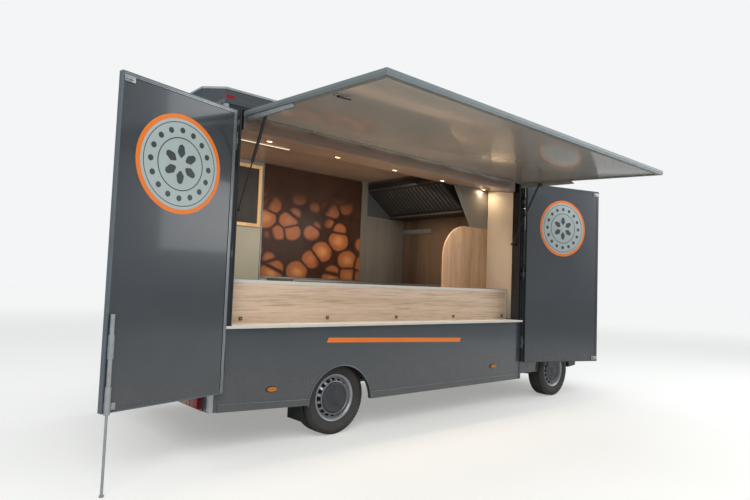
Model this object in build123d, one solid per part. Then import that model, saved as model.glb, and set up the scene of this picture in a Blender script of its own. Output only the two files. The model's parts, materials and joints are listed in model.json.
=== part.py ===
from build123d import *
import math
import os

# A light food truck: a van cab on a low ladder frame, carrying a box body whose
# kerb side opens as a serving hatch. X runs forward from the body's rear face,
# Y to the vehicle's left from its centreline, Z up from the ground, all in mm.
# The saved solids are shifted so that the origin lies under the middle of the whole vehicle.

# Body: overall form
BODY_LENGTH = 4200
BODY_WIDTH = 2200
WALL = 40
FLOOR_TOP = 560
FLOOR_THICK = 50
SKIRT_BOTTOM = 315
SKIRT_REAR_BOTTOM = 365
EAVES_TOP = 2900
ROOF_RISE = 200
ROOF_THICK = 40
ROOF_STEP_INSET = 300
ROOF_END_CHAMFER = 150
SILL_HEIGHT = 65
SILL_PROUD = 4

# Wheels, axles and frame
REAR_AXLE_X = 1320
CAB_AXLE_SETBACK = 880
TYRE_RADIUS = 345
TYRE_WIDTH = 215
RIM_RADIUS = 203
RIM_FLANGE_RADIUS = 222
RIM_WIDTH = 178
RIM_WALL = 9
RIM_SLOTS = 18
HUB_CAP_RADIUS = 92
TRACK = 1840
SPINDLE_RADIUS = 32
SPINDLE_CLEARANCE = 0.1
RIM_HUB_FACE = 18
SPINDLE_REACH = RIM_HUB_FACE - 1
ARCH_RADIUS = 373
ARCH_CENTRE_Z = 285
WHEEL_BOX_WALL = 12
RAIL_SPREAD = 900
RAIL_WIDTH = 60
RAIL_BOTTOM = 400

# Serving hatch, shelf and counter
HATCH_REAR_X = 160
FRONT_POST_WIDTH = 87
HATCH_FRONT_X = BODY_LENGTH - FRONT_POST_WIDTH
SHELF_TOP = 1055
SHELF_THICK = 25
SHELF_OVERHANG = 50
COUNTER_TOP = 1430
COUNTER_SETBACK = 200
COUNTER_DEPTH = 480
COUNTER_BOARD = 20
HEADER_DROP = 210
CEILING_THICK = 15
CEILING_FOLD_Y = -400
CEILING_RISE = 91
CEILING_LIFT = 35

# Hatch flap and its gas struts
FLAP_THICK = 40
FLAP_GAP = 8
FLAP_OPEN_ANGLE = 87
FLAP_HINGE_DROP = 70
FLAP_HINGE_OUT = 6
STRUT_ATTACH_DOWN = 310
STRUT_ATTACH_IN = 70
STRUT_PIN_DOWN = 820
STRUT_PIN_IN = 76
STRUT_TUBE_RADIUS = 13
STRUT_TUBE_LENGTH = 400
STRUT_ROD_RADIUS = 6
STRUT_OFFSET = 20

# Wings: the two panels that stand at the ends of the hatch
WING_THICK = 40
WING_BOTTOM = 526
WING_DROP = 100
WING_HINGE_OUT = 35
REAR_WING_X = 105
REAR_WING_WIDTH = 1037
REAR_WING_ANGLE = 14.5
FRONT_WING_X = BODY_LENGTH - 25
FRONT_WING_WIDTH = 1200
FRONT_WING_ANGLE = 18.7

# Prop leg on the rear wing
LEG_TUBE_RADIUS = 15
LEG_ROD_RADIUS = 9
LEG_CLEARANCE = 0.5
LEG_TUBE_BOTTOM = 520
LEG_TUBE_TOP = 1170
LEG_ROD_TOP = 680

# Staff door in the rear wall
STAFF_DOOR_Y = -100
STAFF_DOOR_WIDTH = 750
STAFF_DOOR_TOP = 2500
DOOR_GAP = 6

# Cab
CAB_GAP = 40
CAB_BOTTOM = 360
CAB_ROOF = 2250
CAB_WIDTH = 2050
CAB_WALL = 50
CAB_ARCH_RADIUS = 425
SEAT_CLEARANCE = 0.1
GLASS_THICK = 6
GLASS_INSET = 18
CAB_HINGE_OUT = 9

HALF_WIDTH = BODY_WIDTH / 2
KERB_Y = -HALF_WIDTH
FAR_Y = HALF_WIDTH
CAB_BACK = BODY_LENGTH + CAB_GAP
FRONT_AXLE_X = CAB_BACK + CAB_AXLE_SETBACK
FLOOR_BOTTOM = FLOOR_TOP - FLOOR_THICK
SHELF_BOTTOM = SHELF_TOP - SHELF_THICK
RAIL_TOP = FLOOR_BOTTOM
WALL_TOP = EAVES_TOP - ROOF_THICK
ROOF_TOP = EAVES_TOP + ROOF_RISE
CEILING_Z = EAVES_TOP + CEILING_LIFT
HEADER_BOTTOM = EAVES_TOP - HEADER_DROP
FLAP_HINGE_Z = EAVES_TOP - FLAP_HINGE_DROP
WING_TOP = EAVES_TOP - WING_DROP
WHEEL_Y = TRACK / 2
FLAP_HINGE_Y = KERB_Y - FLAP_HINGE_OUT

ORIGIN_X = 2580
ORIGIN_Y = -790


def block(x, y, z):
    """A box between low and high values on each axis."""
    centre = Pos((x[0] + x[1]) / 2, (y[0] + y[1]) / 2, (z[0] + z[1]) / 2)
    return centre * Box(x[1] - x[0], y[1] - y[0], z[1] - z[0])


def anticlockwise(points):
    """An outline's corners in anticlockwise order."""
    area = sum(a[0] * b[1] - b[0] * a[1] for a, b in zip(points, points[1:] + points[:1]))
    return list(points) if area > 0 else list(points[::-1])


def outline(points):
    """A flat face from its corners, which may run either way round."""
    return Polygon(*anticlockwise(points), align=None)


def inset_outline(points, gap):
    """An outline's corners after every side is moved in by a gap."""
    corners = anticlockwise(points)
    moved = []
    last, following = corners[-1:] + corners[:-1], corners[1:] + corners[:1]
    for before, corner, after in zip(last, corners, following):
        a, b = math.dist(before, corner), math.dist(corner, after)
        side_in = ((before[1] - corner[1]) / a, (corner[0] - before[0]) / a)
        side_out = ((corner[1] - after[1]) / b, (after[0] - corner[0]) / b)
        reach = gap / (1 + side_in[0] * side_out[0] + side_in[1] * side_out[1])
        shift_x, shift_y = side_in[0] + side_out[0], side_in[1] + side_out[1]
        moved.append((corner[0] + shift_x * reach, corner[1] + shift_y * reach))
    return moved


def side_profile(points, y):
    """A profile of (X, Z) points, given its width between two values of Y."""
    face = Plane.XZ.offset(-y[1]) * outline(points)
    return extrude(face, amount=y[1] - y[0], dir=(0, -1, 0))


def cross_profile(points, x):
    """A profile of (Y, Z) points, given its length between two values of X."""
    face = Plane.YZ.offset(x[0]) * outline(points)
    return extrude(face, amount=x[1] - x[0], dir=(1, 0, 0))


def plan_profile(points, z):
    """A profile of (X, Y) points, given its height between two values of Z."""
    face = Plane.XY.offset(z[0]) * outline(points)
    return extrude(face, amount=z[1] - z[0], dir=(0, 0, 1))


def rod(start, end, radius):
    """A round bar between two points."""
    line = Vector(*end) - Vector(*start)
    base = Plane(origin=start, z_dir=line)
    return base * Cylinder(radius, line.length, align=(Align.CENTER, Align.CENTER, Align.MIN))


def disc_y(x, z, radius, y):
    """A round bar along Y between two values of Y."""
    return rod((x, y[0], z), (x, y[1], z), radius)


def mirrored(shape):
    """The same shape on the other side of the vehicle's centreline."""
    return mirror(shape, about=Plane.XZ)


def turned(shape, point, direction, angle):
    """The shape turned about an axis through a point."""
    return shape.rotate(Axis(point, direction), angle)


def save(name, *solids):
    """Write one node's file, moved to the vehicle's own origin."""
    pieces = []
    for solid in solids:
        pieces.extend(solid.solids())
    shape = pieces[0] if len(pieces) == 1 else Compound(children=pieces)
    export_step(shape.moved(Location((-ORIGIN_X, -ORIGIN_Y, 0))), os.path.join("parts", name + ".step"))


# Hinges: knuckles on one pin, with the fixed leaf on one side and the moving one on the other
HINGE_RADIUS = 12
HINGE_PIN_RADIUS = 5
HINGE_PIN_CLEARANCE = 0.1
HINGE_KNUCKLE_GAP = 1


def hinge(base, direction, leaf_fixed, leaf_moving, knuckle, radius=HINGE_RADIUS):
    """One three-knuckle hinge; each leaf is a box given by its far corner across the axis."""
    axis = Vector(*direction)
    start = Vector(*base)

    def ring(k):
        low = start + axis * (k * knuckle + HINGE_KNUCKLE_GAP / 2)
        high = start + axis * ((k + 1) * knuckle - HINGE_KNUCKLE_GAP / 2)
        return tuple(low), tuple(high)

    pin = rod(tuple(start), tuple(start + axis * (3 * knuckle)), HINGE_PIN_RADIUS)
    middle_low, middle_high = ring(1)
    middle = rod(middle_low, middle_high, radius)
    moving = (middle + leaf_between(middle_low, middle_high, leaf_moving)) - rod(
        tuple(start), tuple(start + axis * (3 * knuckle)), HINGE_PIN_RADIUS + HINGE_PIN_CLEARANCE)
    fixed = pin
    for k in (0, 2):
        low, high = ring(k)
        fixed += rod(low, high, radius) + leaf_between(low, high, leaf_fixed)
    return fixed, moving


def leaf_between(low, high, corners):
    """A leaf from one end of a knuckle to the other, across the given low and high offsets."""
    box_low = [min(a, b) + c for a, b, c in zip(low, high, corners[0])]
    box_high = [max(a, b) + c for a, b, c in zip(low, high, corners[1])]
    return block(*[(a, b) for a, b in zip(box_low, box_high)])


# Ladder frame
SPRING_CROSSMEMBERS_X = (REAR_AXLE_X - 700, REAR_AXLE_X + 670)
CAB_CROSSMEMBERS_X = (BODY_LENGTH - 400, FRONT_AXLE_X - 520)
MIDDLE_CROSSMEMBER_X = (SPRING_CROSSMEMBERS_X[1] + CAB_CROSSMEMBERS_X[0]) / 2
CROSSMEMBERS_X = (75, *SPRING_CROSSMEMBERS_X, MIDDLE_CROSSMEMBER_X, *CAB_CROSSMEMBERS_X)
RAIL_REAR_X = WALL
RAIL_FRONT_X = FRONT_AXLE_X + 520


def chassis_frame():
    """Two rails and their crossmembers, with hangers for the rear springs."""
    rail_y = RAIL_SPREAD / 2
    width = (rail_y - RAIL_WIDTH / 2, rail_y + RAIL_WIDTH / 2)
    rail = block((RAIL_REAR_X, RAIL_FRONT_X), width, (RAIL_BOTTOM, RAIL_TOP))
    frame = rail + mirrored(rail)
    for x in CROSSMEMBERS_X:
        frame += block((x - 30, x + 30), (-rail_y, rail_y), (RAIL_BOTTOM + 15, RAIL_TOP - 15))
    for x in (SPRING_REAR_X, SPRING_FRONT_X):
        hanger_z = (SPRING_EYE_Z + SPRING_THICK / 2, RAIL_BOTTOM)
        hanger = block((x - 25, x + 25), (rail_y - 30, rail_y + 30), hanger_z)
        frame += hanger + mirrored(hanger)
    return frame


# Rear axle and its leaf springs
AXLE_RADIUS = 35
SPRING_REAR_X = REAR_AXLE_X - 600
SPRING_FRONT_X = REAR_AXLE_X + 560
SPRING_EYE_Z = 365
SPRING_THICK = 18
SPRING_WIDTH = 60
AXLE_END_Y = WHEEL_Y - 75


def rear_axle():
    """A tube axle over a leaf spring each side, with a spindle at each end for its wheel."""
    z = TYRE_RADIUS
    axle = disc_y(REAR_AXLE_X, z, AXLE_RADIUS, (-AXLE_END_Y, AXLE_END_Y))
    axle += disc_y(REAR_AXLE_X, z, SPINDLE_RADIUS, (-WHEEL_Y - SPINDLE_REACH, WHEEL_Y + SPINDLE_REACH))
    low = z - AXLE_RADIUS - SPRING_THICK
    leaf_y = (RAIL_SPREAD / 2 - SPRING_WIDTH / 2, RAIL_SPREAD / 2 + SPRING_WIDTH / 2)
    eye = SPRING_EYE_Z - SPRING_THICK / 2
    lower = [(SPRING_REAR_X - 25, eye), (REAR_AXLE_X - 120, low),
             (REAR_AXLE_X + 120, low), (SPRING_FRONT_X + 25, eye)]
    leaf = side_profile(lower + [(x, z + SPRING_THICK) for x, z in reversed(lower)], leaf_y)
    seat = block((REAR_AXLE_X - 50, REAR_AXLE_X + 50), leaf_y, (low + SPRING_THICK, z))
    return axle + leaf + mirrored(leaf) + seat + mirrored(seat)


# Front suspension and steered knuckles
KINGPIN_Y = WHEEL_Y - 150
KNUCKLE_LOW = 285
KNUCKLE_HIGH = 430
KINGPIN_RADIUS = 16
KINGPIN_CLEARANCE = 0.1
KNUCKLE_HALF = 42


def front_suspension():
    """Subframe, lower arms with ball pins, and the spring struts up into the wheelhouses."""
    x = FRONT_AXLE_X
    beam_y = RAIL_SPREAD / 2 + RAIL_WIDTH / 2
    beam = block((x - 160, x + 160), (-beam_y, beam_y), (RAIL_BOTTOM - 60, RAIL_BOTTOM))
    root_y, tip_y = RAIL_SPREAD / 2, KINGPIN_Y + 30
    arm_plan = [(x - 150, root_y), (x + 150, root_y), (x + 35, tip_y), (x - 35, tip_y)]
    arm_z = (KNUCKLE_LOW - 30, KNUCKLE_LOW - 4)
    arm = plan_profile(arm_plan, arm_z)
    arm += block((x - 150, x + 150), (root_y - 30, root_y + 20), (KNUCKLE_LOW - 30, RAIL_BOTTOM))
    arm += rod((x, KINGPIN_Y, KNUCKLE_LOW - 10), (x, KINGPIN_Y, KNUCKLE_LOW + 40), KINGPIN_RADIUS)
    strut = rod((x, KINGPIN_Y, KNUCKLE_HIGH + 4), (x, KINGPIN_Y, TYRE_RADIUS + CAB_ARCH_RADIUS), 34)
    strut = strut & wheelhouse(CAB_ARCH_RADIUS - SEAT_CLEARANCE, 0)
    strut += rod((x, KINGPIN_Y, KNUCKLE_HIGH - 40), (x, KINGPIN_Y, KNUCKLE_HIGH + 10), KINGPIN_RADIUS)
    return [beam + arm + mirrored(arm), strut, mirrored(strut)]


def knuckle():
    """The left knuckle: an upright on the kingpin, with the wheel's spindle."""
    x = FRONT_AXLE_X
    width = (x - KNUCKLE_HALF, x + KNUCKLE_HALF)
    upright = block(width, (KINGPIN_Y - 35, KINGPIN_Y + 30), (KNUCKLE_LOW, KNUCKLE_HIGH))
    upright += disc_y(x, TYRE_RADIUS, 60, (KINGPIN_Y + 20, WHEEL_Y - 50))
    upright += disc_y(x, TYRE_RADIUS, SPINDLE_RADIUS, (KINGPIN_Y, WHEEL_Y + SPINDLE_REACH))
    for z in (KNUCKLE_LOW - 20, KNUCKLE_HIGH - 42):
        hole = rod((x, KINGPIN_Y, z), (x, KINGPIN_Y, z + 64), KINGPIN_RADIUS + KINGPIN_CLEARANCE)
        upright -= hole
    return upright


# Wheels: built about their own centre with the outer side towards +Y
def rim():
    """A pressed steel rim: barrel, slotted disc and a flat centre cap."""
    half = RIM_WIDTH / 2
    barrel = Cylinder(RIM_RADIUS, RIM_WIDTH) - Cylinder(RIM_RADIUS - RIM_WALL, RIM_WIDTH)
    flange = Cylinder(RIM_FLANGE_RADIUS, 10) - Cylinder(RIM_RADIUS - RIM_WALL, 10)
    barrel += Pos(0, 0, half - 5) * flange + Pos(0, 0, -half + 5) * flange
    inner = RIM_RADIUS - RIM_WALL + 1
    bore = SPINDLE_RADIUS + SPINDLE_CLEARANCE
    profile = [(bore, RIM_HUB_FACE), (HUB_CAP_RADIUS, RIM_HUB_FACE), (HUB_CAP_RADIUS + 22, 52),
               (inner - 26, 58), (inner, 34), (inner, 22), (inner - 32, 46), (HUB_CAP_RADIUS + 30, 41),
               (HUB_CAP_RADIUS + 6, 4), (bore, 4)]
    disc = revolve(Plane.XZ * outline(profile), Axis.Z)
    slot_radius = inner - 44
    disc -= [Pos(0, 0, 48) * place * Box(22, 24, 40) for place in PolarLocations(slot_radius, RIM_SLOTS)]
    hub = Cylinder(70, 66) - Cylinder(bore, 66)
    cap = Cylinder(HUB_CAP_RADIUS - 6, 22, align=(Align.CENTER, Align.CENTER, Align.MIN))
    cap = fillet(cap.edges().group_by(Axis.Z)[-1], 6)
    return barrel + disc + Pos(0, 0, -15) * hub + Pos(0, 0, RIM_HUB_FACE) * cap


def tyre():
    """A road tyre with rounded shoulders, seated on the rim's barrel."""
    half = TYRE_WIDTH / 2
    bead = RIM_WIDTH / 2 - 10
    points = [(RIM_RADIUS, -bead), (RIM_FLANGE_RADIUS + 2, -bead), (RIM_FLANGE_RADIUS + 40, -half),
              (TYRE_RADIUS - 50, -half + 4), (TYRE_RADIUS - 8, -half + 22), (TYRE_RADIUS, -half + 42),
              (TYRE_RADIUS, half - 42), (TYRE_RADIUS - 8, half - 22), (TYRE_RADIUS - 50, half - 4),
              (RIM_FLANGE_RADIUS + 40, half), (RIM_FLANGE_RADIUS + 2, bead), (RIM_RADIUS, bead)]
    return revolve(Plane.XZ * outline(points), Axis.Z)


def at_wheel(shape, x, side):
    """Place a wheel piece at an axle's end; side is +1 on the left and -1 on the right."""
    return Pos(x, side * WHEEL_Y, TYRE_RADIUS) * Rot(-90 * side, 0, 0) * shape


# Body panels
ARCH_X = REAR_AXLE_X + 5
REAR_POST_FOOT = 70
POST_DEPTH = 100
HEADER_END = 40
WHEEL_BOX_X = (REAR_AXLE_X - 400, REAR_AXLE_X + 400)
WHEEL_BOX_Y = 740
WHEEL_BOX_TOP = TYRE_RADIUS * 2 + 80


def skirt_outline(top):
    """Outline of a side wall from its skirt, which rises to the rear, up to a given height."""
    return [(0, SKIRT_REAR_BOTTOM), (ARCH_X - ARCH_RADIUS, SKIRT_BOTTOM + 12), (ARCH_X, SKIRT_BOTTOM),
            (BODY_LENGTH, SKIRT_BOTTOM), (BODY_LENGTH, top), (0, top)]


def arch_cut(y):
    """The rear wheel's arch through a side wall."""
    return disc_y(ARCH_X, ARCH_CENTRE_Z, ARCH_RADIUS, y)


def sill_outline():
    """Outline of the sill rail along a skirt's lower edge."""
    low = skirt_outline(EAVES_TOP)[:4]
    return low + [(x, z + SILL_HEIGHT) for x, z in reversed(low)]


def kerb_wall():
    """The wall below the hatch, with its skirt, sill rail and wheel arch."""
    wall = side_profile(skirt_outline(SHELF_BOTTOM), (KERB_Y, KERB_Y + WALL))
    wall += side_profile(sill_outline(), (KERB_Y - SILL_PROUD, KERB_Y + WALL))
    wall -= arch_cut((KERB_Y - 20, KERB_Y + WALL + 20))
    return wall & block((REAR_POST_FOOT, HATCH_FRONT_X), (KERB_Y - 50, KERB_Y + WALL), (0, SHELF_BOTTOM))


def far_wall():
    """The far side wall, with its skirt, sill rail and wheel arch."""
    wall = side_profile(skirt_outline(WALL_TOP), (FAR_Y - WALL, FAR_Y))
    wall += side_profile(sill_outline(), (FAR_Y - WALL, FAR_Y + SILL_PROUD))
    return wall - arch_cut((FAR_Y - WALL - 20, FAR_Y + 20))


def kerb_posts():
    """The posts at both ends of the hatch, notched over the floor's edge."""
    y = (KERB_Y, KERB_Y + POST_DEPTH)
    rear = block((0, REAR_POST_FOOT), y, (SKIRT_REAR_BOTTOM, SHELF_BOTTOM))
    rear += block((0, HATCH_REAR_X), y, (SHELF_BOTTOM, WALL_TOP))
    front = block((HATCH_FRONT_X, BODY_LENGTH), y, (SKIRT_BOTTOM, WALL_TOP))
    notch = block((WALL, BODY_LENGTH - WALL), (KERB_Y + WALL, 0), (FLOOR_BOTTOM, FLOOR_TOP))
    return rear - notch, front - notch


def header():
    """The beam over the hatch that carries the flap's hinge."""
    low = FLAP_HINGE_Z + 8
    x = (HATCH_REAR_X, HATCH_FRONT_X)
    beam = block(x, (KERB_Y, KERB_Y + POST_DEPTH), (low, WALL_TOP))
    stop_x = (x[0] + HEADER_END, x[1] - HEADER_END)
    return beam + block(stop_x, (KERB_Y + WALL + 6, KERB_Y + POST_DEPTH), (HEADER_BOTTOM, low))


def rear_wall():
    """The rear wall with the staff door's opening."""
    wall = block((0, WALL), (KERB_Y + POST_DEPTH, FAR_Y - WALL), (FLOOR_BOTTOM, WALL_TOP))
    door_y = (STAFF_DOOR_Y, STAFF_DOOR_Y + STAFF_DOOR_WIDTH)
    return wall - block((-20, WALL + 20), door_y, (FLOOR_TOP, STAFF_DOOR_TOP))


def front_wall():
    """The plain wall behind the cab."""
    wall_y = (KERB_Y + POST_DEPTH, FAR_Y - WALL)
    return block((BODY_LENGTH - WALL, BODY_LENGTH), wall_y, (FLOOR_BOTTOM, WALL_TOP))


def body_floor():
    """The floor, with a box over each rear wheel."""
    floor = block((WALL, BODY_LENGTH - WALL), (KERB_Y + WALL, FAR_Y - WALL), (FLOOR_BOTTOM, FLOOR_TOP))
    t = WHEEL_BOX_WALL
    for side in (-1, 1):
        y = sorted((side * WHEEL_BOX_Y, side * (HALF_WIDTH - WALL)))
        inner = sorted((side * (WHEEL_BOX_Y + t), side * (HALF_WIDTH - WALL + 30)))
        floor += block(WHEEL_BOX_X, y, (FLOOR_BOTTOM, WHEEL_BOX_TOP))
        inner_x = (WHEEL_BOX_X[0] + t, WHEEL_BOX_X[1] - t)
        floor -= block(inner_x, inner, (FLOOR_BOTTOM - 20, WHEEL_BOX_TOP - t))
    return floor


def raised_plan(gap):
    """Plan of the raised roof: stepped in over the hatch with its corners cut off, flush at the far wall."""
    near, far = KERB_Y + ROOF_STEP_INSET + gap, FAR_Y - gap
    c = ROOF_END_CHAMFER
    low, high = gap, BODY_LENGTH - gap
    return [(low, near + c), (low + c, near), (high - c, near), (high, near + c), (high, far), (low, far)]


def roof():
    """The roof: a flat strip over the hatch and a raised part behind it."""
    skin = block((0, BODY_LENGTH), (KERB_Y, FAR_Y), (WALL_TOP, EAVES_TOP))
    skin += plan_profile(raised_plan(0), (WALL_TOP, ROOF_TOP))
    return skin - plan_profile(raised_plan(ROOF_THICK), (WALL_TOP - 5, ROOF_TOP - ROOF_THICK))


def ceiling():
    """The lining: it rises from the header to a fold, then steps up and runs level to the far wall."""
    low_y, high_y, t = KERB_Y + POST_DEPTH, FAR_Y - WALL, CEILING_THICK
    fold, low, high, top = CEILING_FOLD_Y, HEADER_BOTTOM, HEADER_BOTTOM + CEILING_RISE, CEILING_Z
    under = [(low_y, low), (fold, high), (fold, top), (high_y, top)]
    over = [(high_y, top + t), (fold - t, top + t), (fold - t, high + t), (low_y, low + t)]
    return cross_profile(under + over, (WALL, BODY_LENGTH - WALL))


# Shelf, counter and kitchen
COUNTER_Y = (KERB_Y + COUNTER_SETBACK, KERB_Y + COUNTER_SETBACK + COUNTER_DEPTH)
KITCHEN_Y = (460, FAR_Y - WALL)
KITCHEN_TOP = 1460
KITCHEN_X = (1760, BODY_LENGTH - WALL)
COOKING_DEPTH = 750


def shelf():
    """The customers' shelf along the hatch."""
    y = (KERB_Y - SHELF_OVERHANG, COUNTER_Y[0])
    corner = SHELF_OVERHANG + 10
    rear, front = HATCH_REAR_X + 20, HATCH_FRONT_X - 30
    overhang = [(rear, KERB_Y), (rear + corner, y[0]), (front, y[0]), (front, KERB_Y)]
    board = plan_profile(overhang, (SHELF_BOTTOM, SHELF_TOP))
    return board + block((HATCH_REAR_X + 8, HATCH_FRONT_X - 8), (KERB_Y, y[1]), (SHELF_BOTTOM, SHELF_TOP))


def cabinet(x, y, top, front_low):
    """A cabinet of boards: front, ends, bottom and top, open towards the aisle."""
    t = COUNTER_BOARD
    front_y, open_y = front_low
    front = block(x, sorted((front_y, front_y + math.copysign(t, open_y - front_y))), (FLOOR_TOP, top - t))
    pieces = front + block(x, y, (top - t, top)) + block(x, y, (FLOOR_TOP + 60, FLOOR_TOP + 60 + t))
    count = max(2, round((x[1] - x[0]) / 1000) + 1)
    for k in range(count):
        end = x[0] + (x[1] - x[0] - t) * k / (count - 1)
        pieces += block((end, end + t), y, (FLOOR_TOP, top - t))
    return pieces


def counter():
    """The serving counter, its oak front facing the hatch."""
    x = (WALL + 20, BODY_LENGTH - WALL)
    body = cabinet(x, COUNTER_Y, COUNTER_TOP, (COUNTER_Y[0], COUNTER_Y[1]))
    return body - block(WHEEL_BOX_X, (KERB_Y, -WHEEL_BOX_Y), (0, WHEEL_BOX_TOP))


def kitchen_counter():
    """The worktop along the far wall, with a leg along the front wall for the cooking."""
    t, top = COUNTER_BOARD, KITCHEN_TOP
    x = (KITCHEN_X[1] - COOKING_DEPTH, KITCHEN_X[1])
    y = (COUNTER_Y[1] + 2, KITCHEN_Y[0])
    leg = block(x, y, (top - t, top)) + block(x, y, (FLOOR_TOP + 60, FLOOR_TOP + 60 + t))
    for end in (y[0], y[1] - t):
        leg += block(x, (end, end + t), (FLOOR_TOP, top - t))
    leg += block((x[1] - t, x[1]), y, (FLOOR_TOP, top - t))
    return cabinet(KITCHEN_X, KITCHEN_Y, top, (KITCHEN_Y[1], KITCHEN_Y[0])) + leg


# Hood on the front wall: its filters slope down towards the wall
HOOD_DEPTH = 760
HOOD_FASCIA = 138
HOOD_LIP_DEPTH = 310
HOOD_LIP = 40
HOOD_HEIGHT = 495
HOOD_SHEET = 15
HOOD_FRONT_Z = CEILING_Z - HOOD_FASCIA
HOOD_BOTTOM = CEILING_Z - HOOD_HEIGHT
HOOD_LIP_Z = HOOD_BOTTOM + HOOD_LIP
HOOD_Y = (CEILING_FOLD_Y + 10, FAR_Y - WALL)
FILTER_SLOTS = 20
FILTER_SLOT_WIDTH = 30


def exhaust_hood():
    """A closed hood with slots in its sloping filter bank."""
    wall, t = BODY_LENGTH - WALL, HOOD_SHEET
    front, lip, top = wall - HOOD_DEPTH, wall - HOOD_LIP_DEPTH, CEILING_Z
    run, fall = lip - front, HOOD_FRONT_Z - HOOD_LIP_Z
    length = math.hypot(run, fall)
    rise = t * length / run - t * fall / run
    skin = [(front, HOOD_FRONT_Z), (lip, HOOD_LIP_Z), (lip, HOOD_BOTTOM),
            (wall, HOOD_BOTTOM), (wall, top), (front, top)]
    hollow = [(front + t, HOOD_FRONT_Z + rise), (lip + t, HOOD_LIP_Z + rise), (lip + t, HOOD_BOTTOM + t),
              (wall - t, HOOD_BOTTOM + t), (wall - t, top - t), (front + t, top - t)]
    hood = side_profile(skin, HOOD_Y) - side_profile(hollow, (HOOD_Y[0] + t, HOOD_Y[1] - t))
    slope = Rot(0, math.degrees(math.atan2(fall, run)), 0)
    pitch = (HOOD_Y[1] - HOOD_Y[0] - 2 * t) / FILTER_SLOTS
    for k in range(FILTER_SLOTS):
        y = HOOD_Y[0] + t + pitch * (k + 0.5)
        slot = Box(length - 90, FILTER_SLOT_WIDTH, 4 * t)
        hood -= Pos(front + run / 2, y, HOOD_LIP_Z + fall / 2) * slope * slot
    return hood


SCREEN_LENGTH = 870
SCREEN_X = (BODY_LENGTH - WALL - SCREEN_LENGTH, BODY_LENGTH - WALL)
SCREEN_Y = (-560, -542)
SCREEN_TOP = 2230
SCREEN_CORNER = 420


def wood_screen():
    """The upright board on the counter, with one large rounded corner."""
    board = block(SCREEN_X, SCREEN_Y, (COUNTER_TOP, SCREEN_TOP))
    edge = board.edges().filter_by(Axis.Y).sort_by(Axis.Z)[-2:].sort_by(Axis.X)[0]
    return fillet(edge, SCREEN_CORNER)


SPLASH_Y = (SCREEN_Y[0] + 3, SCREEN_Y[1] - 3)
SPLASH_TOP_LENGTH = 700
SPLASH_LOW_LENGTH = 355


def side_panel():
    """The steel panel that goes on from the wood screen up to the ceiling."""
    wall, start_y = BODY_LENGTH - WALL, KERB_Y + POST_DEPTH
    share = (SPLASH_Y[0] - start_y) / (CEILING_FOLD_Y - start_y)
    top = HEADER_BOTTOM + CEILING_RISE * share - 1
    shape = [(wall - SPLASH_LOW_LENGTH, SCREEN_TOP), (wall, SCREEN_TOP),
             (wall, top), (wall - SPLASH_TOP_LENGTH, top)]
    return side_profile(shape, SPLASH_Y)


# Flap in its closed place, then turned up to where it stands open
FLAP_X = (HATCH_REAR_X + FLAP_GAP, HATCH_FRONT_X - FLAP_GAP)
FLAP_Z = (SHELF_TOP + FLAP_GAP, FLAP_HINGE_Z - 12)
FLAP_PLATE_LENGTH = 690
FLAP_PLATE_THICK = 8
FLAP_EDGE = 35
FLAP_HINGES = 7
FLAP_KNUCKLE = 60
# Each strut: its name, the face of its end plate and the way inward along X
STRUTS = (("rear", FLAP_X[0] + 8 + FLAP_PLATE_THICK, 1), ("front", FLAP_X[1] - 8 - FLAP_PLATE_THICK, -1))


def opened(shape):
    """Turn a closed flap's piece up about the hinge."""
    return turned(shape, (0, FLAP_HINGE_Y, FLAP_HINGE_Z), (1, 0, 0), -FLAP_OPEN_ANGLE)


def flap_hinges():
    """Fixed and moving halves of the flap's hinges."""
    fixed, moving = [], []
    step = (FLAP_X[1] - FLAP_X[0] - 300) / (FLAP_HINGES - 1)
    for k in range(FLAP_HINGES):
        x = FLAP_X[0] + 150 + step * k - 1.5 * FLAP_KNUCKLE
        up = ((0, FLAP_HINGE_OUT - 4, 0), (0, FLAP_HINGE_OUT, 28))
        down = ((0, FLAP_HINGE_OUT - 4, -54), (0, FLAP_HINGE_OUT, 0))
        a, b = hinge((x, FLAP_HINGE_Y, FLAP_HINGE_Z), (1, 0, 0), up, down, FLAP_KNUCKLE, radius=7)
        fixed.append(a)
        moving.append(b)
    return fixed, moving


def flap_panel():
    """The flap: a flat panel in an edge frame, with a tapered plate at each end."""
    panel = block(FLAP_X, (KERB_Y, KERB_Y + FLAP_THICK), FLAP_Z)
    frame_x = (FLAP_X[0] + FLAP_EDGE, FLAP_X[1] - FLAP_EDGE)
    frame_z = (FLAP_Z[0] + FLAP_EDGE, FLAP_Z[1] - FLAP_EDGE)
    panel -= block(frame_x, (KERB_Y + FLAP_THICK - 6, KERB_Y + FLAP_THICK), frame_z)
    inner = KERB_Y + FLAP_THICK
    top, low = FLAP_Z[1] - 20, FLAP_Z[1] - 60 - FLAP_PLATE_LENGTH
    plate = [(inner, top), (inner + 52, top), (inner + 36, low), (inner, low + 40)]
    for x in (FLAP_X[0] + 8, FLAP_X[1] - 8 - FLAP_PLATE_THICK):
        panel += cross_profile(plate, (x, x + FLAP_PLATE_THICK))
    pin = (FLAP_HINGE_Y + STRUT_ATTACH_IN, FLAP_HINGE_Z - STRUT_ATTACH_DOWN)
    for _, x, inward in STRUTS:
        panel += rod((x - inward * 4, *pin), (x + inward * (STRUT_OFFSET + 12), *pin), EYE_PIN_RADIUS)
    return panel


# Gas struts: tube on the flap's end plate, rod to a pin on the jamb
EYE_RADIUS = 14
EYE_PIN_RADIUS = 7
EYE_CLEARANCE = 0.5
STRUT_PIN = (KERB_Y + STRUT_PIN_IN - FLAP_HINGE_OUT, FLAP_HINGE_Z - STRUT_PIN_DOWN)


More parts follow.
